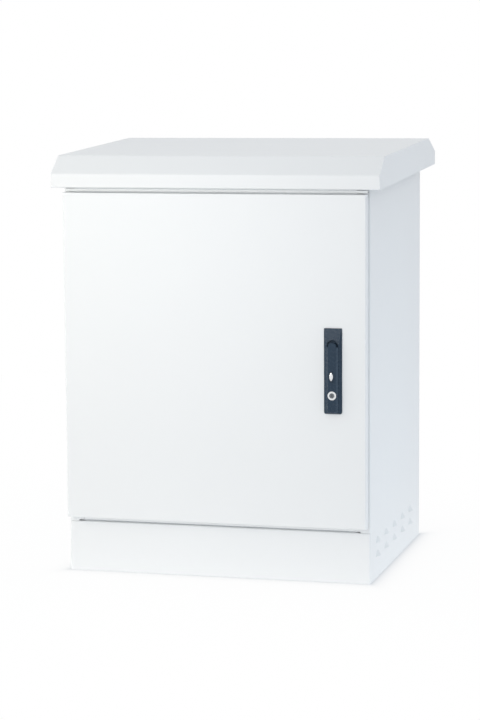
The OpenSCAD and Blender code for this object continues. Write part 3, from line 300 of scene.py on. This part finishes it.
def dress(piece, material, body, slot, *nodes):
    """Gives a piece its finish, rides it on a body, and has it stand for CAD nodes; its slot is not used."""
    piece.data.materials.append(material)
    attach(piece, body)
    if nodes:
        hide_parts(*nodes)


def solids(node):
    """Boxes of a node's separate solids, [solid, lowest or highest, axis].

    Vertices in one place, to a micron, or in one triangle take the lowest label among them, until no label changes.
    """
    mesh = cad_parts[node].data
    place = np.empty(3 * len(mesh.vertices), np.float32)
    mesh.vertices.foreach_get("co", place)
    place = place.reshape(-1, 3).astype(float)
    corner = np.empty(len(mesh.loops), np.int32)
    mesh.loops.foreach_get("vertex_index", corner)
    _, same = np.unique(np.round(place / MICRON), axis=0, return_inverse=True)
    same = same.reshape(-1)
    triangle = same[corner].reshape(-1, 3)
    label = np.arange(same.max() + 1)
    settled = False
    while not settled:
        new = label.copy()
        np.minimum.at(new, triangle, label[triangle].min(axis=1, keepdims=True))
        settled = np.array_equal(new, label)
        label = new
    solid = label[same]
    return np.array([[place[solid == s].min(axis=0), place[solid == s].max(axis=0)] for s in np.unique(solid)])


def measured(boxes, out):
    """Half width and length of like fasteners that fill boxes and face out, and the middles of their outer ends."""
    axis = int(np.argmax(np.abs(out)))
    size = boxes[0, 1] - boxes[0, 0]
    ends = boxes.mean(axis=1)
    ends[:, axis] = boxes[:, int(out[axis] > 0), axis]
    return np.delete(size, axis).max() / 2, size[axis], ends


def stand(points, places, out):
    """Copies of a grid drawn about Z, set down at places with Z turned to face out."""
    turn = np.array(Vector(out).to_track_quat("Z", "Y").to_matrix())
    return (points @ turn.T)[None] + np.asarray(places)[:, None, None, :]


def lathe(radius, height):
    """Rings about Z: ring i has radius[i] at height[i], each a number or a value for every angle of ROUND."""
    radius, height = (
        np.stack([np.broadcast_to(value, ROUND.shape) for value in column]) for column in (radius, height))
    return np.stack([radius * np.cos(ROUND), radius * np.sin(ROUND), height], axis=-1)


def thread(radius, low, high, pitch):
    """Rows of a screw thread up Z: radius less its depth times a triangle wave of z / pitch - angle / turn."""
    rows_in_pitch = 4
    up = np.linspace(low, high, max(3, int(rows_in_pitch * (high - low) / pitch)))[:, None]
    wave = abs(np.mod(up / pitch - ROUND / TURN, 1) - 0.5) * 2
    return lathe(radius - THREAD_DEPTH * pitch * wave, up)


def chamfered(corner, rise):
    """Radius of a hexagon's sides, the circle that its chamfer starts from, and the height of the edge.

    At an angle a from the middle of a side the radius is corner cos 30 / cos a. The edge is lower than the top
    by (radius - circle) tan 30.
    """
    sixth = TURN / 6
    side = corner * math.cos(sixth / 2) / np.cos(np.mod(ROUND, sixth) - sixth / 2)
    circle = CHAMFER_CIRCLE * side.min()
    return side, circle, rise - (side - circle) * math.tan(CHAMFER)


def pan_screw(shank, head, rise, length, recess):
    """A pan head screw with a cross recess, head up, its bearing face at z = 0.

    The head is z = rise (1 - (r / head)^4)^0.4. The recess takes away depth where the smaller of |x| and |y|
    is under half an arm's width and the larger under half the cross's length, with sloping walls.
    """
    # rings lie closer together over the cross and at the rim
    share = np.concatenate([np.linspace(0, 0.62, 14), [0.7, 0.78, 0.86, 0.92, 0.96, 0.985, 1.0]])
    rings = lathe(head * share, rise * np.maximum(1 - share ** 4, 0) ** 0.4)
    near = np.minimum(abs(rings[..., 0]), abs(rings[..., 1])) / head
    far = np.maximum(abs(rings[..., 0]), abs(rings[..., 1])) / head
    # shares of the head: half an arm's width, half the cross's length, how far their walls slope, and how much
    # shallower the recess gets farther out
    arm, arm_slope, cross, cross_slope, shallow = 0.13, 0.05, 0.56, 0.08, 0.6
    wall = np.clip((arm - near) / arm_slope, 0, 1) * np.clip((cross - far) / cross_slope, 0, 1)
    rings[..., 2] -= recess * wall * (1 - shallow * far)
    return np.concatenate([rings, lathe([shank, shank, 0], [0, -length, -length])])


def hex_bolt(shank, corner, rise, length, pitch):
    """A hexagon bolt, head up and chamfered, its bearing face at z = 0, with a thread on its shank."""
    side, circle, edge = chamfered(corner, rise)
    head = lathe([0, circle, side, side, shank], [rise, rise, edge, 0, 0])
    tip = lathe([TIP * shank, 0], [-length, -length])
    return np.concatenate([head, thread(shank, RUN_OUT * pitch - length, 0, pitch)[::-1], tip])


def nut_and_stud(shank, corner, nut, length, pitch):
    """A stud standing at z = 0 in a flanged nut: the flange a cone, the hexagon chamfered, the rest thread."""
    side, circle, edge = chamfered(FLANGE_HEXAGON * corner, nut)
    rows = lathe([0, corner, corner, side, side, circle, shank],
                 [0, 0, FLANGE_RIM * nut, FLANGE_CONE * nut, edge, nut, nut])
    tip = lathe([TIP * shank, 0], [length, length])
    return np.concatenate([rows, thread(shank, nut, length - RUN_OUT * pitch, pitch), tip])


def rounded_rectangle(half_x, half_z, radius, straight, corner):
    """Points and outward normals of a rounded rectangle about the origin, evenly along each side and corner.

    A point is the centre of a corner, or one on the line between two centres, plus radius times its normal.
    """
    angle = np.concatenate([
        np.concatenate([np.linspace(q, q + 1, corner), np.full(straight, q + 1)]) for q in range(4)]) * TURN / 4
    normal = np.stack([np.cos(angle), np.sin(angle)], axis=-1)
    centres = np.array([[1, 1], [-1, 1], [-1, -1], [1, -1]]) * [half_x - radius, half_z - radius]
    run = np.linspace(0, 1, straight + 2)[1:-1, None]
    centre = np.concatenate([np.concatenate([
        np.repeat(centres[q:q + 1], corner, axis=0),
        centres[q] * (1 - run) + centres[(q + 1) % 4] * run]) for q in range(4)])
    return centre + radius * normal, normal


class FinishSettings(bpy.types.PropertyGroup):
    """Colours of the cabinet's finishes."""

    coat: bpy.props.FloatVectorProperty(
        name="Powder coat", description="Colour of the coated sheet", subtype="COLOR", default=linear("#EBEDEE"))
    zinc: bpy.props.FloatVectorProperty(
        name="Zinc plate", description="Colour of the plated fittings", subtype="COLOR", default=linear("#C4C8CB"))
    steel: bpy.props.FloatVectorProperty(
        name="Turned steel", description="Colour of pins, spindle and studs", subtype="COLOR",
        default=linear("#D2D3D3"))
    chrome: bpy.props.FloatVectorProperty(
        name="Satin chrome", description="Colour of the lock and the lever's insert", subtype="COLOR",
        default=linear("#E2E4E6"))
    # the key plug's colour is partly painted shade: darker than the nickel alone, for the shade inside the lock
    plug: bpy.props.FloatVectorProperty(
        name="Key plug", description="Colour of the nickel on the lock's plug", subtype="COLOR",
        default=linear("#75797D"))
    handle: bpy.props.FloatVectorProperty(
        name="Handle", description="Colour of the moulded handle", subtype="COLOR", default=linear("#2E3E4E"))
    acetal: bpy.props.FloatVectorProperty(
        name="Rod guides", description="Colour of the rod guides", subtype="COLOR", default=linear("#242629"))
    rubber: bpy.props.FloatVectorProperty(
        name="Seals", description="Colour of the door seal and grommets", subtype="COLOR",
        default=linear("#2B2C2E"))
    strip: bpy.props.FloatVectorProperty(
        name="Foam strips", description="Colour of the strips in the gaps of the folded sheet", subtype="COLOR",
        default=linear("#ECEFF1"))
    felt: bpy.props.FloatVectorProperty(
        name="Filter mat", description="Colour of the intake filters", subtype="COLOR", default=linear("#6B6E70"))


class DetailSettings(bpy.types.PropertyGroup):
    """Sizes of the pieces that are finer than the frame."""

    seal_groove: bpy.props.FloatProperty(
        name="Seal groove", description="Depth of the line that the collar has pressed into the seal",
        unit="LENGTH", default=0.6 * MM)
    channel_lip: bpy.props.FloatProperty(
        name="Channel lip", description="Height of the rain channel's outer lip", unit="LENGTH", default=5.8 * MM)
    plinth_gap: bpy.props.FloatProperty(
        name="Plinth gap", description="Gap between the plinth's cover and the sill", unit="LENGTH",
        default=2.4 * MM)
    strip_out: bpy.props.FloatProperty(
        name="Strip overhang", description="How far the foam strip over the door stands out of the rain channel",
        unit="LENGTH", default=9.5 * MM)
    strip_back: bpy.props.FloatProperty(
        name="Strip setback", description="How far the foam strips reach behind the sheet's edge", unit="LENGTH",
        default=5 * MM)
    recess_share: bpy.props.FloatProperty(
        name="Cross recess", description="Depth of a screw's cross recess as a share of its head", subtype="FACTOR",
        default=0.6)
    thread_pitch: bpy.props.FloatProperty(
        name="Thread pitch", description="Distance between threads on bolts and studs", unit="LENGTH",
        default=1.0 * MM)


class StageSettings(bpy.types.PropertyGroup):
    """Camera, floor and light."""

    place: bpy.props.FloatVectorProperty(
        name="Camera place", description="Where the camera stands", subtype="TRANSLATION", unit="LENGTH",
        default=(1.2007, -4.5523, 0.9781))
    yaw: bpy.props.FloatProperty(
        name="Yaw", description="Turn of the camera to the left", subtype="ANGLE", default=math.radians(15.016))
    pitch: bpy.props.FloatProperty(
        name="Pitch", description="Tilt of the camera downwards", subtype="ANGLE", default=math.radians(7.1076))
    roll: bpy.props.FloatProperty(
        name="Roll", description="Roll of the camera", subtype="ANGLE", default=math.radians(-0.3801))
    lens: bpy.props.FloatProperty(
        name="Lens", description="Focal length in millimetres on a 36 mm sensor", unit="CAMERA", default=117.857)
    wall_left: bpy.props.FloatVectorProperty(
        name="Left wall", description="Colour of the light from the room's left", subtype="COLOR",
        default=linear("#F6F9FC"))
    wall_right: bpy.props.FloatVectorProperty(
        name="Right wall", description="Colour of the light from the room's right", subtype="COLOR",
        default=linear("#C9CACE"))
    ceiling: bpy.props.FloatVectorProperty(
        name="Ceiling", description="Colour of the light from straight above", subtype="COLOR",
        default=linear("#DFE3E7"))
    floor: bpy.props.FloatVectorProperty(
        name="Floor", description="Colour of the floor", subtype="COLOR", default=linear("#FAFAFB"))
    # painted shade: the floor's colour right at the foot, darker to stand in for the shadow there
    contact_shade: bpy.props.FloatVectorProperty(
        name="Contact line", description="Colour of the floor right at the foot", subtype="COLOR",
        default=linear("#DCDFE2"))
    contact_shade_reach: bpy.props.FloatProperty(
        name="Contact reach", description="Distance from the foot at which about a third of the contact line is left",
        unit="LENGTH", default=9 * MM)
    shadow: bpy.props.FloatProperty(
        name="Shadow", description="Strength of the shadow along the foot", subtype="FACTOR", default=0.75)
    shadow_reach: bpy.props.FloatProperty(
        name="Shadow reach", description="Distance from the foot at which about a third of the shadow is left",
        unit="LENGTH", default=12 * MM)
    haze: bpy.props.FloatProperty(
        name="Haze", description="Strength of the faint shadow farther out", subtype="FACTOR", default=0.06)
    haze_reach: bpy.props.FloatProperty(
        name="Haze reach", description="Distance from the foot at which about a third of haze and floor glow is left",
        unit="LENGTH", default=250 * MM)
    bounce: bpy.props.FloatProperty(
        name="Floor glow", description="Share of the floor that throws light on the cabinet's foot",
        subtype="FACTOR", default=0.7)
    bounce_power: bpy.props.FloatProperty(
        name="Glow strength", description="Strength of the light that the floor throws, where 1 is white",
        default=1.4)
    key: bpy.props.FloatProperty(
        name="Key light", description="Power of the large lamp in front, on the left", subtype="POWER", default=4.2)
    front: bpy.props.FloatProperty(
        name="Front light", description="Power of the narrow lamp in front", subtype="POWER", default=0.62)
    fill: bpy.props.FloatProperty(
        name="Fill light", description="Power of the low lamp on the right", subtype="POWER", default=1.6)


class CABINET_OT_sheet_steel(bpy.types.Operator):
    """Powder coat the folded sheet of shell, hood and door"""

    bl_idname = "cabinet.sheet_steel"
    bl_label = "Coat Sheet Steel"

    def execute(self, context):
        coat_nodes(SHEET_STEEL, powder_coat(context.scene.cabinet_finish.coat))
        return {"FINISHED"}


class CABINET_OT_fittings(bpy.types.Operator):
    """Finish rails, struts, supports, hinges, rods, pins and rod guides"""

    bl_idname = "cabinet.fittings"
    bl_label = "Finish Fittings"

    def execute(self, context):
        finish = context.scene.cabinet_finish
        coat_nodes(ZINC_FITTINGS, zinc_plate(finish.zinc))
        # free-cutting steel, fed 0.2 mm a turn
        coat_nodes(TURNED_STEEL, turned_metal("turned_bright_steel", finish.steel, feed=0.2 * MM, rough=0.26))
        coat_nodes(ACETAL_GUIDES, moulded_acetal(finish.acetal))
        return {"FINISHED"}


class CABINET_OT_handle(bpy.types.Operator):
    """Finish the swing handle and its lock, and set the domed insert in the lever"""

    bl_idname = "cabinet.handle"
    bl_label = "Finish Handle"

    def execute(self, context):
        finish = context.scene.cabinet_finish
        chrome = satin_chrome(finish.chrome)
        coat_nodes(MOULDED_HANDLE, moulded_polyamide(finish.handle))
        coat_nodes(["lock_barrel"], chrome)
        # brass under nickel, duller than the barrel round it; it is also darker as painted shade, standing in for the
        # shade inside the lock
        coat_nodes(["key_plug"], turned_metal("nickel_plated_brass_turned", finish.plug, feed=0.3 * MM, rough=0.36))
        insert = surface("lever_insert_dome", self.dome()[None], wrap_rows=True)
        dress(insert, chrome, "lever", "satin_chrome", "lever_insert")
        return {"FINISHED"}

    @staticmethod
    def dome():
        """A pointed oval between two crossing arcs of radius R, domed.

        At a distance t from its middle, the half width is a = sqrt(R^2 - t^2) - R + w / 2. At a share v of it
        the height is h (rim + (1 - rim) (1 - v^2)^0.6) sqrt(a / widest a).
        """
        rim = 0.35
        low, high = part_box("lever_insert")
        middle, size = (low + high) / 2, high - low
        arc = (size.z ** 2 + size.x ** 2) / (4 * size.x)
        t = np.linspace(-0.5, 0.5, 33) * size.z
        half = np.maximum(np.sqrt(arc ** 2 - t ** 2) - arc + size.x / 2, 0)
        across = np.linspace(-1, 1, 17)
        crown = size.y * (rim + (1 - rim) * (1 - across ** 2) ** 0.6)
        v = np.concatenate([across, across[::-1]])
        out = np.concatenate([crown, 0 * across])
        lift = np.sqrt(half / half.max())
        return np.stack([
            middle.x + v[:, None] * half, high.y - out[:, None] * lift, middle.z + t + 0 * v[:, None]], axis=-1)


class CABINET_OT_seals(bpy.types.Operator):
    """Lay the foamed seal round the door and foam strips in the sheet's gaps, and finish grommets and filters"""

    bl_idname = "cabinet.seals"
    bl_label = "Lay Seals"

    def execute(self, context):
        finish = context.scene.cabinet_finish
        detail = context.scene.cabinet_detail
        seal = surface("door_seal_bead", self.bead(detail)[None], wrap_rows=True, wrap_columns=True)
        # closed cells of about 0.4 mm under a thin skin, drawn at 0.6 mm so that they show
        foam = cellular_seal("polyurethane_foam_seal_cast", finish.rubber, cell=0.6 * MM, depth=0.06 * MM, rough=0.9)
        dress(seal, foam, "door", "seal_rubber", "door_gasket")
        # a moulded skin, smooth but for a bloom
        coat_nodes(["cable_grommets"], cellular_seal(
            "epdm_rubber_moulded", finish.rubber, cell=1.2 * MM, depth=0.02 * MM, rough=0.62))
        coat_nodes(FILTER_PADS, filter_mat(finish.felt))
        self.lay_strips(finish, detail)
        return {"FINISHED"}

    def lay_strips(self, finish, detail):
        """Pale strips under the hood's edge, over the door, over the plinth's cover and behind the free edge."""
        # closed cells of about 0.8 mm
        foam = cellular_seal(
            "polyethylene_foam_strip_slit", finish.strip, cell=0.8 * MM, depth=0.05 * MM, rough=0.85)
        channel, hood, door, plinth, sill = (
            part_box(node) for node in ("rain_channel", "roof_hood", "door_panel", "plinth_cover", "sill_rail"))
        lip = channel[0].z + detail.channel_lip
        face, inside = channel[0].y, channel[0].y + detail.strip_back
        ledge = plinth[0].y + detail.strip_back
        for name, low, high, front, back in (
                ("hood_foam_strip", lip - LIP_LAP, hood[0].z + HOOD_LAP, face - HOOD_STRIP_OUT, inside),
                ("channel_foam_strip", door[1].z + TOP_GAP, channel[0].z, face - detail.strip_out, inside),
                ("plinth_foam_strip", sill[0].z - detail.plinth_gap, sill[0].z, ledge, ledge + detail.strip_back)):
            run = self.strip((front + back) / 2, (back - front) / 2, low, high, channel[1].x - SHORT_ACROSS)
            dress(surface(name, run[None], wrap_rows=True), foam, "shell", "seal_rubber")
        # the last one stands upright behind the door's free edge: the same run with X and Z changed over
        free = door[1].x - EDGE_GAP
        half_depth = (plinth[0].y - door[1].y - BACK_GAP) / 2
        half_height = (door[1].z - door[0].z) / 2 - SHORT_UPRIGHT
        run = self.strip(plinth[0].y - half_depth, half_depth, free - detail.strip_back, free, half_height)
        run = run[::-1, :, ::-1] + np.array([0, 0, (door[0].z + door[1].z) / 2])
        dress(surface("latch_foam_strip", run[None], wrap_rows=True), foam, "shell", "seal_rubber")

    @staticmethod
    def strip(middle, a, low, high, half):
        """A foam strip along X: a section |y / a|^3 + |z / b|^3 = 1 whose size falls to nothing at both ends.

        Near an end, at a distance d from it, the section is sqrt(1 - (1 - d / r)^2) of its full size, with r = 2 b.
        """
        b = (high - low) / 2
        r = 2 * b
        turn = np.linspace(0, TURN, 32, endpoint=False)
        y = a * np.sign(np.cos(turn)) * abs(np.cos(turn)) ** (2 / 3)
        z = b * np.sign(np.sin(turn)) * abs(np.sin(turn)) ** (2 / 3)
        end = r * np.array([0, 0.03, 0.12, 0.3, 0.6, 1])
        x = np.concatenate([-half + end, np.linspace(-half, half, 62)[1:-1], half - end[::-1]])
        short = 1 - np.clip((half - abs(x)) / r, 0, 1)
        size = np.sqrt(np.maximum(1 - short ** 2, 0))
        return np.stack(np.broadcast_arrays(
            x, middle + y[:, None] * size, (low + high) / 2 + z[:, None] * size), axis=-1)

    @staticmethod
    def bead(detail):
        """A bead carried round the door, with a groove on its crest.

        Its section is h (1 - |x / a|^p)^(1 / p), less the groove's depth times exp(-(x / s)^2), with a half the
        bead's width, p its power and s the groove's width.
        """
        low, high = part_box("door_gasket")
        middle, size = (low + high) / 2, high - low
        half = SEAL_WIDTH / 2
        path, normal = rounded_rectangle(size.x / 2 - half, size.z / 2 - half, half, straight=24, corner=9)
        sweep = np.linspace(-math.pi / 2, math.pi / 2, 25)
        x = half * np.sign(sweep) * abs(np.sin(sweep)) ** (2 / SEAL_POWER)
        h = size.y * abs(np.cos(sweep)) ** (2 / SEAL_POWER)
        h = h - detail.seal_groove * np.exp(-(x / GROOVE_WIDTH) ** 2)
        flat = path[:, None] + normal[:, None] * x[None, :, None]
        return np.stack([
            middle.x + flat[..., 0], np.broadcast_to(low.y + h, flat.shape[:2]), middle.z + flat[..., 1]], axis=-1)


class CABINET_OT_fasteners(bpy.types.Operator):
    """Set pan head screws, hexagon bolts and earth studs in place of the frame's plain ones"""

    bl_idname = "cabinet.fasteners"
    bl_label = "Set Fasteners"

    def execute(self, context):
        detail = context.scene.cabinet_detail
        # both are made by Finish Fittings, and without it this stops with an error
        zinc = bpy.data.materials["zinc_plated_steel_passivated"]
        steel = bpy.data.materials["turned_bright_steel"]
        for node, body, out in PAN_SCREWS:
            screws = surface(node + "_cross", self.pan_screws(solids(node), out, detail), wrap_columns=True)
            dress(screws, zinc, body, "zinc_plate", node)
        hood = self.hex_bolts(solids("hood_bolts"), (0, 0, -1), detail)
        dress(surface("hood_bolts_hex", hood, wrap_columns=True), zinc, "shell", "zinc_plate", "hood_bolts")
        rail = solids("rail_bolts")
        left = rail[:, 0, 0] < 0
        rail = np.concatenate([
            self.hex_bolts(rail[left], (1, 0, 0), detail), self.hex_bolts(rail[~left], (-1, 0, 0), detail)])
        dress(surface("rail_bolts_hex", rail, wrap_columns=True), zinc, "shell", "zinc_plate", "rail_bolts")
        for node, body, out in EARTH_STUDS:
            stud = surface(node + "_threaded", self.studs(solids(node), out, detail), wrap_columns=True)
            dress(stud, steel, body, "bright_steel", node)
        return {"FINISHED"}

    @staticmethod
    def pan_screws(boxes, out, detail):
        """Screws as large as the frame's, which fill boxes."""
        head, whole, ends = measured(boxes, out)
        shank = head / PAN_WIDTH
        rise = PAN_RISE * shank
        screw = pan_screw(shank, head, rise, whole - rise, detail.recess_share * rise)
        return stand(screw, ends - rise * np.array(out), out)

    @staticmethod
    def hex_bolts(boxes, out, detail):
        """Bolts as large as the frame's, which fill boxes."""
        corner, whole, ends = measured(boxes, out)
        shank = corner / BOLT_WIDTH
        rise = BOLT_RISE * shank
        bolt = hex_bolt(shank, corner, rise, whole - rise, detail.thread_pitch)
        return stand(bolt, ends - rise * np.array(out), out)

    @staticmethod
    def studs(boxes, out, detail):
        """Studs with their nuts as large as the frame's, which fill boxes."""
        corner, whole, ends = measured(boxes, out)
        shank = corner / NUT_WIDTH
        stud = nut_and_stud(shank, corner, NUT_RISE * shank, whole, detail.thread_pitch)
        return stand(stud, ends - whole * np.array(out), out)


class CABINET_OT_stage(bpy.types.Operator):
    """Set the camera, the floor and the studio light"""

    bl_idname = "cabinet.stage"
    bl_label = "Set Stage"

    def execute(self, context):
        stage = context.scene.cabinet_stage
        self.camera(context.scene, stage)
        self.room(context.scene, stage)
        self.floor(stage)
        self.lamps(context.scene, stage)
        context.scene.view_settings.view_transform = "Standard"
        return {"FINISHED"}

    @staticmethod
    def camera(scene, stage):
        """A camera that looks along yaw and pitch and is rolled about its own axis."""
        level = math.cos(stage.pitch)
        ahead = Vector((-math.sin(stage.yaw) * level, math.cos(stage.yaw) * level, -math.sin(stage.pitch)))
        right = Vector((math.cos(stage.yaw), math.sin(stage.yaw), 0))
        above = right.cross(ahead)
        side = right * math.cos(stage.roll) + above * math.sin(stage.roll)
        top = above * math.cos(stage.roll) - right * math.sin(stage.roll)
        data = bpy.data.cameras.new("camera")
        data.lens = stage.lens
        data.sensor_width = SENSOR
        camera = bpy.data.objects.new("camera", data)
        camera.matrix_world = Matrix.Translation(stage.place) @ Matrix((side, top, -ahead)).transposed().to_4x4()
        scene.collection.objects.link(camera)
        scene.camera = camera

    @staticmethod
    def room(scene, stage):
        """Soft light from all round, coloured by wall and ceiling; straight to the eye and in mirrors it is white."""
        world = bpy.data.worlds.new("studio_room")
        world.use_nodes = True
        tree = world.node_tree
        tree.nodes.clear()
        way = add(tree, "SeparateXYZ", {0: add(tree, "TexCoord").outputs["Generated"]}).outputs
        across = add(tree, "MapRange", {"Value": way["X"], "From Min": -WALL_BLEND, "From Max": WALL_BLEND})
        rise = add(tree, "MapRange", {"Value": way["Z"], "From Min": CEILING_START, "From Max": CEILING_FULL})
        wall = add(tree, "Mix", {
            0: across.outputs[0], 6: rgba(stage.wall_left), 7: rgba(stage.wall_right)}, data_type="RGBA")
        room = add(tree, "Mix", {0: rise.outputs[0], 6: wall.outputs[2], 7: rgba(stage.ceiling)}, data_type="RGBA")
        light = add(tree, "Mix", {0: seen_straight(tree), 6: room.outputs[2], 7: WHITE}, data_type="RGBA")
        back = add(tree, "Background", {"Color": light.outputs[2], "Strength": 1.0})
        add(tree, "OutputWorld", {"Surface": back.outputs[0]})
        scene.world = world

    @staticmethod
    def floor(stage):
        """A round floor that keeps the shadow under the cabinet and fades to the white room farther out. Right at the
        foot its colour is darkened as painted shade.
        """
        angles = np.linspace(0, TURN, 96, endpoint=False)
        rings = np.array(FLOOR_RINGS)[:, None]
        points = np.stack(np.broadcast_arrays(
            rings * np.cos(angles), rings * np.sin(angles), np.float64(0)), axis=-1)
        floor = surface("studio_floor", points[None], wrap_columns=True)
        material, tree = empty_tree("matt_painted_studio_floor")
        # how far a point lies outside the cabinet's foot: the larger of |x| - half width and |y| - half depth
        place = add(tree, "VectorMath", {0: add(tree, "TexCoord").outputs["Object"]}, operation="ABSOLUTE")
        foot = (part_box("plinth_cover")[1].x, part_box("side_panel_right")[1].y, 0)
        outside = add(tree, "VectorMath", {0: place.outputs[0], 1: foot}, operation="SUBTRACT")
        outside = add(tree, "SeparateXYZ", {0: outside.outputs[0]}).outputs
        reach = add(tree, "Math", {0: outside["X"], 1: outside["Y"]}, operation="MAXIMUM").outputs[0]
        reach = add(tree, "Math", {0: reach, 1: 0.0}, operation="MAXIMUM").outputs[0]
        # shadow, haze and the painted shade at the foot each fall off as exp(-distance / reach)
        powers = (
            add(tree, "Math", {0: reach, 1: -1 / length}, operation="MULTIPLY").outputs[0]
            for length in (stage.shadow_reach, stage.haze_reach, stage.contact_shade_reach))
        near, far, line = (add(tree, "Math", {0: power}, operation="EXPONENT").outputs[0] for power in powers)
        shade = add(tree, "Math", {0: near, 1: stage.shadow}, operation="MULTIPLY").outputs[0]
        shade = add(tree, "Math", {0: far, 1: stage.haze, 2: shade}, operation="MULTIPLY_ADD").outputs[0]
        fade = add(tree, "Math", {0: 1.0, 1: shade}, operation="SUBTRACT").outputs[0]
        glow = add(tree, "Math", {0: far, 1: stage.bounce}, operation="MULTIPLY").outputs[0]
        seen = seen_straight(tree)
        share = add(tree, "Mix", {0: seen, 2: glow, 3: fade})
        # painted shade: little light gets in right at the foot, so the floor's colour is painted greyer in the last
        # centimetre
        ground_and_painted_shade = add(tree, "Mix", {0: line, 6: rgba(stage.floor), 7: rgba(stage.contact_shade)}, data_type="RGBA")
        paint = add(tree, "BsdfDiffuse", {"Color": ground_and_painted_shade.outputs[2]})
        # what the floor throws on the foot is stronger than the white that the eye sees
        strength = add(tree, "MapRange", {"Value": seen, "To Min": stage.bounce_power, "To Max": 1.0})
        white = add(tree, "Emission", {"Color": WHITE, "Strength": strength.outputs[0]})
        mixed = add(tree, "MixShader", {0: share.outputs[0], 1: paint.outputs[0], 2: white.outputs[0]})
        add(tree, "OutputMaterial", {"Surface": mixed.outputs[0]})
        floor.data.materials.append(material)

    @staticmethod
    def lamps(scene, stage):
        """Soft lamps: a large one on the left, a narrow one for the door's upper half and a low one on the right."""
        for name, power, colour, width, spread, place, aim in LAMPS:
            data = bpy.data.lights.new(name, "AREA")
            data.shape = "DISK"
            data.size = width
            data.spread = math.radians(spread)
            data.energy = getattr(stage, power)
            data.color = linear(colour)
            lamp = bpy.data.objects.new(name, data)
            ahead = Vector(aim) - Vector(place)
            lamp.matrix_world = Matrix.Translation(place) @ ahead.to_track_quat("-Z", "Y").to_matrix().to_4x4()
            scene.collection.objects.link(lamp)


class CABINET_PT_sidebar(bpy.types.Panel):
    """Lists the cabinet's steps and settings"""

    bl_idname = "CABINET_PT_sidebar"
    bl_label = "Utility Cabinet"
    bl_space_type = "VIEW_3D"
    bl_region_type = "UI"
    bl_category = "Cabinet"

    def draw(self, context):
        """A button for each step, and a box for each group of settings."""
        layout = self.layout
        for operator in OPERATORS:
            layout.operator(operator.bl_idname)
        for group in (context.scene.cabinet_finish, context.scene.cabinet_detail, context.scene.cabinet_stage):
            box = layout.box()
            for key in group.bl_rna.properties.keys():
                if key not in ("rna_type", "name"):
                    box.prop(group, key)


OPERATORS = (
    CABINET_OT_sheet_steel, CABINET_OT_fittings, CABINET_OT_handle, CABINET_OT_seals, CABINET_OT_fasteners,
    CABINET_OT_stage,
)
GROUPS = {"cabinet_finish": FinishSettings, "cabinet_detail": DetailSettings, "cabinet_stage": StageSettings}


def register():
    """Makes the settings, steps and panel known."""
    for cls in (*GROUPS.values(), *OPERATORS, CABINET_PT_sidebar):
        bpy.utils.register_class(cls)
    for key, group in GROUPS.items():
        setattr(bpy.types.Scene, key, bpy.props.PointerProperty(type=group))


def unregister():
    """Takes them away again."""
    for key in GROUPS:
        delattr(bpy.types.Scene, key)
    for cls in (CABINET_PT_sidebar, *reversed(OPERATORS), *GROUPS.values()):
        bpy.utils.unregister_class(cls)


def main():
    """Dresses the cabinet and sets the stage."""
    register()
    bpy.ops.cabinet.sheet_steel()
    bpy.ops.cabinet.fittings()
    bpy.ops.cabinet.handle()
    bpy.ops.cabinet.seals()
    bpy.ops.cabinet.fasteners()
    bpy.ops.cabinet.stage()


if __name__ == "__main__":
    main()
